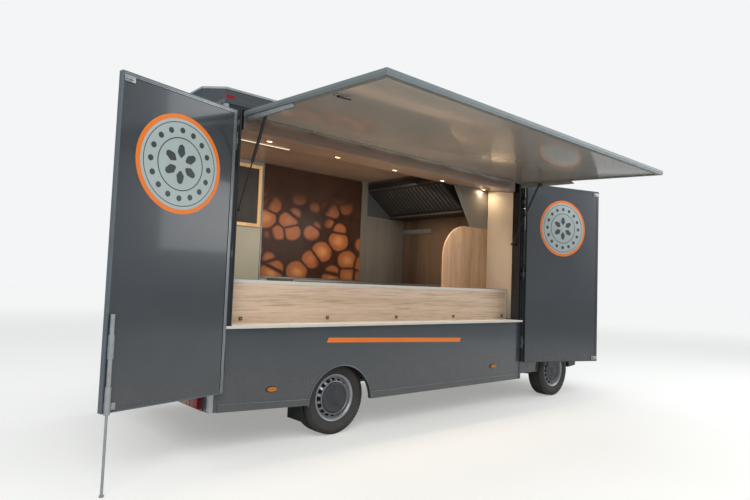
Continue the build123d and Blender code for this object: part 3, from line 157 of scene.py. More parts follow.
@dataclass(frozen=True)
class Finish:
    """A coated, moulded or worked surface with its tone, gloss and texture.

    Patches are slow changes of tone, grain is the fine texture, both in millimetres.
    """

    name: str
    colour: str
    shade: str
    tone: float = 0.35
    patch_mm: float = 220.0
    grain_mm: float = 1.5
    bump_mm: float = 0.05
    rough: tuple[float, float] = (0.4, 0.5)
    metallic: float = 0.0
    coat: float = 0.0
    coat_rough: float = 0.06
    grain: Grain = Grain.NONE
    dust: str = ""
    dust_top: float = 0.9
    dust_share: float = 0.5

    def colours(self, tree: Tree, place: Socket) -> Socket:
        """The base colour.

        Args:
            tree: the material's tree.
            place: the object coordinates.

        Returns:
            The colour's socket.
        """
        stretched = add_node(tree, "ShaderNodeMapping", {"Vector": place, "Scale": self.grain.value})
        patches = add_node(tree, "ShaderNodeTexNoise", {
            "Vector": stretched.outputs[0], "Scale": 1000 / self.patch_mm, "Detail": 4.0, "Roughness": 0.6})
        span = add_node(tree, "ShaderNodeMapRange", {
            "Value": patches.outputs["Fac"], "From Min": 0.35, "From Max": 0.68, "To Max": self.tone})
        return add_node(tree, "ShaderNodeMix", {
            0: span.outputs[0], 6: rgba(self.colour), 7: rgba(self.shade)}, data_type="RGBA").outputs[2]

    def dusted(self, tree: Tree, place: Socket, colour: Socket) -> tuple[Socket, Socket]:
        """Road dust that thins out upwards.

        Args:
            tree: the material's tree.
            place: the object coordinates.
            colour: the clean colour.

        Returns:
            The dusty colour and how dusty it is.
        """
        height = add_node(tree, "ShaderNodeSeparateXYZ", {0: place})
        cloud = add_node(tree, "ShaderNodeTexNoise", {"Vector": place, "Scale": 3.5, "Detail": 6.0, "Roughness": 0.65})
        low = add_node(tree, "ShaderNodeMapRange", {
            "Value": height.outputs["Z"], "From Min": 0.25, "From Max": self.dust_top, "To Min": 1.0, "To Max": 0.0})
        both = add_node(tree, "ShaderNodeMath", {0: low.outputs[0], 1: cloud.outputs["Fac"]}, operation="MULTIPLY")
        share = add_node(tree, "ShaderNodeMath", {0: both.outputs[0], 1: self.dust_share * 1.6},
                         operation="MULTIPLY", use_clamp=True)
        mixed = add_node(tree, "ShaderNodeMix", {0: share.outputs[0], 6: colour, 7: rgba(self.dust)}, data_type="RGBA")
        return mixed.outputs[2], share.outputs[0]

    def surface(self, tree: Tree, shader: bpy.types.Node) -> None:
        """Set what only this kind of finish has on its shader."""

    def material(self) -> bpy.types.Material:
        """Build the material."""
        made = bpy.data.materials.new(self.name)
        made.use_nodes = True
        tree = made.node_tree
        tree.nodes.clear()
        place = add_node(tree, "ShaderNodeTexCoord").outputs["Object"]
        colour = self.colours(tree, place)
        stretched = add_node(tree, "ShaderNodeMapping", {"Vector": place, "Scale": self.grain.value})
        fine = add_node(tree, "ShaderNodeTexNoise", {
            "Vector": stretched.outputs[0], "Scale": 1000 / self.grain_mm, "Detail": 3.0})
        gloss = add_node(tree, "ShaderNodeMapRange", {
            "Value": fine.outputs["Fac"], "From Min": 0.3, "From Max": 0.7,
            "To Min": self.rough[0], "To Max": self.rough[1]}).outputs[0]
        if self.dust:
            colour, share = self.dusted(tree, place, colour)
            gloss = add_node(tree, "ShaderNodeMix", {0: share, 2: gloss, 3: 0.75}).outputs[0]
        bump = add_node(tree, "ShaderNodeBump", {
            "Height": fine.outputs["Fac"], "Distance": self.bump_mm * MM, "Strength": 0.8})
        shader = add_node(tree, "ShaderNodeBsdfPrincipled", {
            "Base Color": colour, "Roughness": gloss, "Normal": bump.outputs[0], "Metallic": self.metallic,
            "Coat Weight": self.coat, "Coat Roughness": self.coat_rough})
        self.surface(tree, shader)
        add_node(tree, "ShaderNodeOutputMaterial", {"Surface": shader.outputs[0]})
        return made


@dataclass(frozen=True)
class Wood(Finish):
    """Oiled or foiled oak: long streaks, darker pores and slow bands across the board."""

    streak_mm: float = 16.0
    pore: str = "#a98562"

    def colours(self, tree: Tree, place: Socket) -> Socket:
        """Streaks over bands, with pores drawn out along the grain.

        Args:
            tree: the material's tree.
            place: the object coordinates.

        Returns:
            The colour's socket.
        """
        stretched = add_node(tree, "ShaderNodeMapping", {"Vector": place, "Scale": self.grain.value})
        bands = add_node(tree, "ShaderNodeTexNoise", {
            "Vector": stretched.outputs[0], "Scale": 1000 / self.patch_mm, "Detail": 3.0, "Distortion": 0.6})
        streaks = add_node(tree, "ShaderNodeTexNoise", {
            "Vector": stretched.outputs[0], "Scale": 1000 / self.streak_mm, "Detail": 5.0, "Roughness": 0.62})
        pores = add_node(tree, "ShaderNodeTexNoise", {
            "Vector": stretched.outputs[0], "Scale": 1000 / (self.streak_mm * 0.3)})
        band = add_node(tree, "ShaderNodeMapRange", {"Value": bands.outputs["Fac"], "From Min": 0.36, "From Max": 0.64})
        base = add_node(tree, "ShaderNodeMix", {
            0: band.outputs[0], 6: rgba(self.colour), 7: rgba(self.shade)}, data_type="RGBA")
        streak = add_node(tree, "ShaderNodeMapRange", {
            "Value": streaks.outputs["Fac"], "From Min": 0.5, "From Max": 0.72, "To Max": self.tone})
        lined = add_node(tree, "ShaderNodeMix", {
            0: streak.outputs[0], 6: base.outputs[2], 7: rgba(self.pore)}, data_type="RGBA")
        pore = add_node(tree, "ShaderNodeMapRange", {
            "Value": pores.outputs["Fac"], "From Min": 0.62, "From Max": 0.74, "To Max": self.tone})
        return add_node(tree, "ShaderNodeMix", {
            0: pore.outputs[0], 6: lined.outputs[2], 7: rgba(self.pore)}, data_type="RGBA").outputs[2]


@dataclass(frozen=True)
class Pane(Finish):
    """Clear or tinted glass and moulded lenses."""

    clear: float = 1.0
    ior: float = 1.45

    def surface(self, tree: Tree, shader: bpy.types.Node) -> None:
        """Let light through."""
        shader.inputs["Transmission Weight"].default_value = self.clear
        shader.inputs["IOR"].default_value = self.ior


@dataclass(frozen=True)
class Lit(Finish):
    """A lamp's diffuser that is switched on."""

    strength: float = 4.0

    def surface(self, tree: Tree, shader: bpy.types.Node) -> None:
        """Let it glow."""
        shader.inputs["Emission Color"].default_value = rgba(self.colour)
        shader.inputs["Emission Strength"].default_value = self.strength


@dataclass(frozen=True)
class Cloth(Finish):
    """Woven upholstery: warp and weft threads with a soft sheen."""

    thread_mm: float = 2.4

    def surface(self, tree: Tree, shader: bpy.types.Node) -> None:
        """Raise the threads.

        Args:
            tree: the material's tree.
            shader: its principled shader.
        """
        place = add_node(tree, "ShaderNodeTexCoord").outputs["Object"]
        warp, weft = (add_node(tree, "ShaderNodeTexWave", {"Vector": place, "Scale": WAVE_SCALE / self.thread_mm},
                               bands_direction=way) for way in ("Y", "DIAGONAL"))
        both = add_node(tree, "ShaderNodeMath", {0: warp.outputs["Fac"], 1: weft.outputs["Fac"]}, operation="MAXIMUM")
        bump = add_node(tree, "ShaderNodeBump", {"Height": both.outputs[0], "Distance": 0.0006, "Strength": 0.7})
        tree.links.new(bump.outputs[0], shader.inputs["Normal"])
        shader.inputs["Sheen Weight"].default_value = 0.35
        shader.inputs["Sheen Roughness"].default_value = 0.5


@dataclass(frozen=True)
class Print(Finish):
    """A printed wall panel: soft golden discs of several sizes on a dark brown ground."""

    disc: str = "#845032"
    light: str = "#c7955c"
    disc_mm: float = 300.0

    def colours(self, tree: Tree, place: Socket) -> Socket:
        """Discs from cells, each darker towards its edge.

        Args:
            tree: the material's tree.
            place: the object coordinates.

        Returns:
            The colour's socket.
        """
        ground = super().colours(tree, place)
        flat = add_node(tree, "ShaderNodeMapping", {"Vector": place, "Scale": (1.0, 0.0, 1.25)})
        cells = add_node(tree, "ShaderNodeTexVoronoi", {
            "Vector": flat.outputs[0], "Scale": 1000 / self.disc_mm, "Randomness": 0.75})
        creases = add_node(tree, "ShaderNodeTexVoronoi", {
            "Vector": flat.outputs[0], "Scale": 1000 / self.disc_mm, "Randomness": 0.75}, feature="DISTANCE_TO_EDGE")
        crease = add_node(tree, "ShaderNodeMapRange", {
            "Value": creases.outputs["Distance"], "From Min": 0.02, "From Max": 0.1})
        reach = add_node(tree, "ShaderNodeMapRange", {
            "Value": cells.outputs["Distance"], "From Min": 0.52, "From Max": 0.62, "To Min": 1.0, "To Max": 0.0})
        edge = add_node(tree, "ShaderNodeMath", {0: reach.outputs[0], 1: crease.outputs[0]}, operation="MULTIPLY")
        crown = add_node(tree, "ShaderNodeMapRange", {
            "Value": cells.outputs["Distance"], "From Min": 0.05, "From Max": 0.4, "To Min": 1.0, "To Max": 0.0})
        mottle = add_node(tree, "ShaderNodeTexNoise", {"Vector": place, "Scale": 16.0, "Detail": 4.0})
        lit = add_node(tree, "ShaderNodeMath", {0: crown.outputs[0], 1: mottle.outputs["Fac"]}, operation="MULTIPLY")
        baked = add_node(tree, "ShaderNodeMix", {
            0: lit.outputs[0], 6: rgba(self.disc), 7: rgba(self.light)}, data_type="RGBA")
        pick = add_node(tree, "ShaderNodeSeparateXYZ", {0: place})
        low = add_node(tree, "ShaderNodeMapRange", {
            "Value": pick.outputs["Z"], "From Min": 2.3, "From Max": 2.62, "To Min": 1.0, "To Max": 0.0})
        share = add_node(tree, "ShaderNodeMath", {0: edge.outputs[0], 1: low.outputs[0]}, operation="MULTIPLY")
        return add_node(tree, "ShaderNodeMix", {
            0: share.outputs[0], 6: ground, 7: baked.outputs[2]}, data_type="RGBA").outputs[2]


@dataclass(frozen=True)
class Ground(Finish):
    """The studio's floor, which only looks paler to the camera than it lights the vehicle."""

    lift: float = 0.46
    far_lift: float = 0.76

    def surface(self, tree: Tree, shader: bpy.types.Node) -> None:
        """Lift the floor's tone for what looks at it directly.

        Args:
            tree: the material's tree.
            shader: its principled shader.
        """
        path = add_node(tree, "ShaderNodeLightPath").outputs
        place = add_node(tree, "ShaderNodeTexCoord").outputs["Object"]
        away = add_node(tree, "ShaderNodeVectorMath", {0: place}, operation="LENGTH")
        lift = add_node(tree, "ShaderNodeMapRange", {
            "Value": away.outputs["Value"], "From Min": 6.0, "From Max": 26.0, "To Min": self.lift,
            "To Max": self.far_lift},
            interpolation_type="SMOOTHSTEP")
        seen = add_node(tree, "ShaderNodeMath", {0: path["Is Camera Ray"], 1: lift.outputs[0]}, operation="MULTIPLY")
        tree.links.new(seen.outputs[0], shader.inputs["Emission Strength"])
        shader.inputs["Emission Color"].default_value = rgba(self.colour)


@dataclass(frozen=True)
class ShadedPostPaint(Finish):
    """Paint of the hatch's posts, near-black from the shelf up: a painted shade beside the hatch."""

    # Near-black colour of the painted shade above the shelf.
    painted_shade: str = "#15171c"
    shelf: float = 1.055

    def colours(self, tree: Tree, place: Socket) -> Socket:
        """The body's colour below the shelf and a near-black painted shade above it.

        Args:
            tree: the material's tree.
            place: the object coordinates.

        Returns:
            The colour's socket.
        """
        height = add_node(tree, "ShaderNodeSeparateXYZ", {0: place})
        # Mask of the painted shade above the shelf.
        above = add_node(tree, "ShaderNodeMapRange", {
            "Value": height.outputs["Z"], "From Min": self.shelf - MM, "From Max": self.shelf + MM})
        painted = super().colours(tree, place)
        return add_node(tree, "ShaderNodeMix", {
            0: above.outputs[0], 6: painted, 7: rgba(self.painted_shade)}, data_type="RGBA").outputs[2]


# Anthracite two-pack paint on sandwich panel: deep gloss with a slight orange peel, dusty low down.
BODY_PAINT = Finish("anthracite_paint", "#3a4045", "#2e3338", 0.4, 600, 14, 0.03, (0.16, 0.22), coat=0.6,
                    dust="#6d6a66", dust_share=0.35)
# The posts' paint: as the body below the shelf; above it near-black satin, a painted shade beside the hatch.
POST_PAINT_SHADED = ShadedPostPaint("hatch_post_paint", "#3a4045", "#2e3338", 0.4, 600, 14, 0.03, (0.2, 0.28), coat=0.4,
                       dust="#6d6a66", dust_share=0.35)
# Satin glass-fibre sheet of the roof in the body's colour, dulled by weather.
ROOF_SHEET = Finish("satin_roof_sheet", "#41474c", "#363b40", 0.5, 500, 10, 0.05, (0.48, 0.62))
# Flap lining: glossy taupe laminate that mirrors its surroundings softly.
TAUPE_LAMINATE = Finish("taupe_laminate", "#9a958d", "#908b82", 0.4, 700, 40, 0.04, (0.13, 0.19), coat=0.25)
# Extruded aluminium, mill finish with fine drawing lines and slight oxide.
ALUMINIUM = Finish("extruded_aluminium", "#b4babc", "#8f9698", 0.5, 90, 1.2, 0.02, (0.32, 0.46), metallic=0.9)
# Grey anodised edge profile of the flap.
GREY_PROFILE = Finish("grey_anodised_profile", "#7b8485", "#6c7476", 0.5, 160, 1.2, 0.02, (0.36, 0.5), metallic=0.25)
# Slate-grey coated edging of the wings and arch lips, a little paler than the paint.
SLATE_PROFILE = Finish("slate_coated_profile", "#636c73", "#555d64", 0.5, 160, 1.2, 0.02, (0.3, 0.42), metallic=0.2)
# Dark coated edging of the front wing: barely paler than the paint, with a dull sheen.
DARK_PROFILE = Finish("dark_edge_profile", "#42484c", "#383e42", 0.5, 160, 1.2, 0.02, (0.32, 0.44), metallic=0.3)
# Oak foil on board, grain lying level: pale bands with fine darker pores, nearly matt.
OAK_LEVEL = Wood("foiled_oak_level_grain", "#d9c1a9", "#c5aa8f", 0.75, 120, 1.0, 0.05, (0.42, 0.55),
                 grain=Grain.ALONG_X, streak_mm=14, pore="#94755a")
# Oiled oak veneer, grain upright: warmer and darker streaks with a soft matt sheen.
OAK_UPRIGHT = Wood("oiled_oak_upright_grain", "#c2a484", "#a98a69", 0.6, 110, 1.0, 0.05, (0.45, 0.58),
                   grain=Grain.ALONG_Z, streak_mm=12, pore="#8f6843")
# Planed pine laths: yellow, with fine streaks.
PINE = Wood("light_pine_frame", "#c9ab7e", "#b6956a", 0.5, 60, 1.0, 0.04, (0.4, 0.5), grain=Grain.ALONG_Z, streak_mm=9)
# Cream laminate of the shelf: even, with a satin shine.
CREAM_BOARD = Finish("cream_laminate", "#e6e0d4", "#dbd3c4", 0.4, 260, 2.0, 0.03, (0.3, 0.4))
# Warm brown laminate overhead: satin, so the spots leave soft pools of light on it.
BROWN_CEILING = Finish("warm_brown_lining", "#857062", "#756255", 0.5, 420, 3.0, 0.03, (0.28, 0.4))
# Beige plastic-faced wall board: even and softly satin.
BEIGE_LINING = Finish("beige_lining", "#bfb3a3", "#b3a695", 0.4, 380, 3.0, 0.04, (0.35, 0.45))
# Grey-green plastic-faced wall board: even, a little glossier than the beige one.
GREY_LINING = Finish("grey_green_lining", "#8b8d82", "#7c7e74", 0.4, 380, 3.0, 0.04, (0.3, 0.4))
# Stainless sheet with a vertical brushed grain and greasy tone changes.
STAINLESS = Finish("brushed_stainless", "#8b8a85", "#6d6c67", 0.5, 260, 1.0, 0.02, (0.28, 0.42), metallic=0.6,
                   grain=Grain.ALONG_Z)
# Stainless sheet tinted with a painted copper-brown reflection: cloudy tone, brushed grain, a greasy shine.
BROWN_REFLECTION_STEEL = Finish("heat_browned_steel", "#86705c", "#5c4a3e", 0.9, 300, 1.0, 0.02, (0.25, 0.4), metallic=0.55,
                       grain=Grain.ALONG_Z)
# Smoke-darkened sheet of the hood: nearly black and dull.
DARK_STEEL = Finish("smoked_steel_hood", "#2b2b2e", "#222226", 0.5, 260, 1.4, 0.03, (0.35, 0.5), metallic=0.4)
# Grease-dulled steel of the hood's baffles and edges: dark, with a faint sheen on the slats.
HOOD_TRIM = Finish("dulled_hood_steel", "#5a5854", "#42403c", 0.7, 120, 1.2, 0.03, (0.35, 0.5), metallic=0.55)
# Studded vinyl floor: dark and matt, with a fine pimple.
FLOOR_COVER = Finish("studded_floor_cover", "#4a4845", "#3d3b39", 0.5, 200, 6.0, 0.5, (0.55, 0.7))
# Chassis black sprayed on steel: satin under a film of road dust.
SATIN_BLACK = Finish("satin_black_steel", "#232425", "#2f2d2b", 0.6, 120, 3.0, 0.15, (0.45, 0.6),
                     dust="#5d5954", dust_share=0.55)
# Grained black moulding: matt, with a leathery grain, greyed by dust low down.
MOULDED_BLACK = Finish("grained_black_plastic", "#26282a", "#2e3032", 0.5, 140, 1.6, 0.22, (0.55, 0.7),
                       dust="#625e59", dust_share=0.3)
# Extruded rubber: near-black and matt.
RUBBER_SEAL = Finish("rubber_seal", "#1c1d1e", "#262728", 0.5, 60, 1.0, 0.05, (0.6, 0.75))
# Worn tyre rubber: matt charcoal with pale dust rubbed into it.
TYRE_RUBBER = Finish("worn_tyre_rubber", "#2b2b2c", "#3a3835", 0.7, 70, 1.4, 0.12, (0.72, 0.88),
                     dust="#57544f", dust_top=0.75, dust_share=0.24)
# Silver enamel on pressed steel: a soft metallic shine, dusty like the tyre.
RIM_SILVER = Finish("silver_wheel_enamel", "#a9acb0", "#8e9195", 0.5, 90, 1.4, 0.03, (0.3, 0.42), metallic=0.55,
                    coat=0.3, dust="#5b554e", dust_share=0.28)
# Moulded grey plastic of the wheel caps: smooth satin.
CAP_DARK = Finish("dark_wheel_cap", "#35383e", "#2c2f34", 0.5, 60, 1.0, 0.04, (0.35, 0.48))
# Zinc-plated fittings: bright metal, faintly mottled.
ZINC = Finish("zinc_plated_steel", "#aeb2b4", "#94989a", 0.6, 40, 1.0, 0.03, (0.3, 0.45), metallic=0.8)
# Off-white edge banding: smooth and even.
PALE_EDGE = Finish("pale_edge_strip", "#cfcdc6", "#c2c0b8", 0.4, 160, 2.0, 0.02, (0.35, 0.45))
# Bronzed brackets: dark brown metal with a dull sheen.
BRONZE_FITTING = Finish("bronzed_bracket", "#6b4a33", "#583a27", 0.5, 30, 1.2, 0.03, (0.35, 0.5), metallic=0.4)
# Black lacquer of the gas struts: deep black with a soft highlight.
GLOSS_BLACK = Finish("gloss_black_tube", "#0d0e0f", "#141516", 0.4, 80, 1.0, 0.02, (0.3, 0.4))
# Cast films of the signs and the stripe: flat, even colours with a vinyl sheen.
SIGN_DISC = Finish("pale_sign_film", "#a9b6b4", "#9eaba9", 0.4, 200, 4.0, 0.01, (0.3, 0.4))
SIGN_ORANGE = Finish("orange_sign_film", "#e8781e", "#dd6f1a", 0.4, 200, 4.0, 0.01, (0.28, 0.38))
SIGN_DARK = Finish("dark_sign_film", "#3b4246", "#343a3e", 0.4, 200, 4.0, 0.01, (0.28, 0.38))
# Moulded lenses and panes: clear colour, sharp reflections.
AMBER_LENS = Pane("amber_lens", "#e08a24", "#c9761c", 0.4, 20, 3.0, 0.2, (0.08, 0.16), clear=0.35)
RED_LENS = Pane("red_lens", "#a3151a", "#8a1015", 0.4, 20, 3.0, 0.2, (0.08, 0.16), clear=0.35)
CAB_GLASS = Pane("tinted_safety_glass", "#6f7f7d", "#6a7a78", 0.2, 500, 30, 0.0, (0.01, 0.03), clear=0.96)
LAMP_GLASS = Pane("clear_lamp_cover", "#e4e8ea", "#dfe3e5", 0.2, 80, 30, 0.0, (0.01, 0.03), clear=0.97)
# Silvered glass and lamp reflectors: mirrors what is round them.
MIRROR = Finish("mirror_glass", "#d5dadc", "#d0d5d7", 0.2, 300, 30, 0.0, (0.01, 0.02), metallic=1.0)
# Opal diffusers, switched on: an even warm glow.
SPOT_LIGHT = Lit("warm_spot_diffuser", "#ffe2b4", "#ffe0b0", 0.2, 40, 3, 0.0, (0.4, 0.5), strength=6.0)
STRIP_LIGHT = Lit("strip_light_diffuser", "#f6e6cf", "#f4e2c8", 0.2, 40, 3, 0.0, (0.4, 0.5), strength=0.9)
# Printed wall panel under a satin film: golden rounds that crowd on dark brown.
WALL_PRINT = Print("printed_wall_panel", "#2a1c17", "#3b271d", 0.7, 160, 3.0, 0.0, (0.25, 0.35))
# Chalk board: matt, cloudy dark grey.
SLATE = Finish("slate_board", "#2a2a2b", "#3a3a3a", 0.6, 120, 2.0, 0.03, (0.5, 0.65))
# Woven upholstery: its threads are drawn coarser than real, 2.4 mm wide, so that they show.
SEAT_CLOTH = Cloth("woven_seat_cloth", "#3d4046", "#33363b", 0.5, 60, 2.0, 0.1, (0.8, 0.95))
# Sand-cast metal, unpainted: rough and grey.
CAST_GREY = Finish("cast_grey_metal", "#74767a", "#5d5f62", 0.6, 60, 4.0, 0.5, (0.5, 0.65), metallic=0.6)
# Exhaust pipe: steel dulled and browned by heat.
EXHAUST_STEEL = Finish("heat_dulled_steel", "#7b756d", "#5f564d", 0.7, 90, 2.0, 0.08, (0.4, 0.6), metallic=0.7)
# Reflective film of the blank plates: smooth yellow.
PLATE_BLANK = Finish("blank_plate", "#d9c46a", "#d3bd60", 0.3, 200, 2.0, 0.02, (0.35, 0.45))
# Plain pale studio floor.
STUDIO_FLOOR = Ground("studio_floor", "#dadad7", "#d5d5d2", 0.4, 1400, 60, 0.0, (0.7, 0.8))


class Palette:
    """Materials, each built once."""

    def __init__(self) -> None:
        """Start with none."""
        self.made: dict[str, bpy.types.Material] = {}

    def get(self, finish: Finish) -> bpy.types.Material:
        """The material of a finish.

        Args:
            finish: the finish.

        Returns:
            Its one material.
        """
        if finish.name not in self.made:
            self.made[finish.name] = finish.material()
        return self.made[finish.name]


PALETTE = Palette()


# Places: from the vehicle's millimetres to the frame's metres

VEHICLE = Matrix.Scale(MM, 4) @ Matrix.Translation(-ORIGIN)


def turned(hinge: Vector, axis: str, degrees: float) -> Matrix:
    """The matrix from a panel's closed millimetres to the metres where it stands turned on its hinge."""
    swing = Matrix.Rotation(math.radians(degrees), 4, axis)
    return VEHICLE @ Matrix.Translation(hinge) @ swing @ Matrix.Translation(-hinge)


FLAP_PLACE = turned(FLAP_HINGE, "X", -FLAP_OPEN)


# Repeats: small node trees that set out copies of one drawn unit

@cache
def repeat_tree(ring: bool) -> Tree:
    """A tree that repeats its geometry in a row, or in a ring about the Y axis.

    Args:
        ring: whether the copies turn about a centre.

    Returns:
        The node tree.
    """
    tree = bpy.data.node_groups.new("set_out_ring" if ring else "set_out_row", "GeometryNodeTree")
    sockets = [("Unit", "NodeSocketGeometry"), ("Count", "NodeSocketInt"), ("Start", "NodeSocketVector"),
               ("Step", "NodeSocketVector"), ("Material", "NodeSocketMaterial")]
    for label, kind in sockets:
        tree.interface.new_socket(label, in_out="INPUT", socket_type=kind)
    tree.interface.new_socket("Copies", in_out="OUTPUT", socket_type="NodeSocketGeometry")
    given = add_node(tree, "NodeGroupInput").outputs
    if ring:
        line = add_node(tree, "GeometryNodeMeshLine", {
            "Count": given["Count"], "Start Location": given["Start"], "Offset": (0, 0, 0)}, mode="OFFSET")
        number = add_node(tree, "GeometryNodeInputIndex")
        turn = add_node(tree, "ShaderNodeVectorMath", {0: given["Step"], "Scale": number.outputs[0]}, operation="SCALE")
        copies = add_node(tree, "GeometryNodeInstanceOnPoints", {
            "Points": line.outputs[0], "Instance": given["Unit"], "Rotation": turn.outputs[0]})
    else:
        line = add_node(tree, "GeometryNodeMeshLine", {
            "Count": given["Count"], "Start Location": given["Start"], "Offset": given["Step"]}, mode="OFFSET")
        copies = add_node(tree, "GeometryNodeInstanceOnPoints", {"Points": line.outputs[0], "Instance": given["Unit"]})
    real = add_node(tree, "GeometryNodeRealizeInstances", {0: copies.outputs[0]})
    dressed = add_node(tree, "GeometryNodeSetMaterial", {0: real.outputs[0], "Material": given["Material"]})
    add_node(tree, "NodeGroupOutput", {0: dressed.outputs[0]})
    return tree


def set_out(unit: bpy.types.Mesh, ring: bool, values: dict) -> bpy.types.Mesh:
    """Copies of a unit as one plain mesh.

    Args:
        unit: the drawn unit.
        ring: whether the copies turn about a centre.
        values: the repeat tree's inputs, by their names.

    Returns:
        The new mesh.
    """
    holder = linked("unit", unit)
    modifier = holder.modifiers.new("set_out", "NODES")
    modifier.node_group = repeat_tree(ring)
    for socket in modifier.node_group.interface.items_tree:
        if socket.in_out == "INPUT" and socket.name in values:
            modifier[socket.identifier] = values[socket.name]
    holder.update_tag()
    graph = bpy.context.evaluated_depsgraph_get()
    made = bpy.data.meshes.new_from_object(holder.evaluated_get(graph))
    bpy.data.objects.remove(holder)
    return made


def inset(points: Flat, gap: float) -> Flat:
    """An anticlockwise flat outline moved in by a gap, or out by a negative one.

    Args:
        points: its corners.
        gap: how far each side moves in.

    Returns:
        The moved corners.
    """
    moved = []
    count = len(points)
    for k, (x, y) in enumerate(points):
        (ax, ay), (bx, by) = points[k - 1], points[(k + 1) % count]
        a, b = math.hypot(x - ax, y - ay), math.hypot(bx - x, by - y)
        first, second = ((ay - y) / a, (x - ax) / a), ((y - by) / b, (bx - x) / b)
        reach = gap / (1 + first[0] * second[0] + first[1] * second[1])
        moved.append((x + (first[0] + second[0]) * reach, y + (first[1] + second[1]) * reach))
    return moved


def rounded(points: Flat, radius: float, steps: int = 5) -> Flat:
    """A flat outline with its corners rounded.

    Args:
        points: its corners.
        radius: the corners' radius.
        steps: how many points each corner gets, less one.

    Returns:
        The rounded outline.
    """
    made = []
    count = len(points)
    for k in range(count):
        corner = Vector(points[k])
        before, after = Vector(points[k - 1]) - corner, Vector(points[(k + 1) % count]) - corner
        half = before.angle(after) / 2
        reach = min(radius / math.tan(half), before.length * 0.49, after.length * 0.49)
        first, last = corner + before.normalized() * reach, corner + after.normalized() * reach
        for j in range(steps + 1):
            t = j / steps
            made.append(tuple(first * (1 - t) ** 2 + corner * 2 * t * (1 - t) + last * t ** 2))
    return made


# The angle, in radians, over which an edge is broken
BEVEL_ANGLE = 0.35
# The least cosine of half a corner's turn, so that a mitre never runs out to a spike
LEAST_MITRE = 0.3
# The radius, in millimetres, that stands for a spun form's pole
POLE = 0.01
# The cushions' inner pressure, and how many frames they swell for
CUSHION_PRESSURE = 4
CUSHION_FRAMES = 20


def linked(name: str, data: bpy.types.ID) -> bpy.types.Object:
    """A new object in the scene.

    Args:
        name: its name.
        data: its mesh, lamp or camera.

    Returns:
        The object.
    """
    made = bpy.data.objects.new(name, data)
    bpy.context.scene.collection.objects.link(made)
    return made


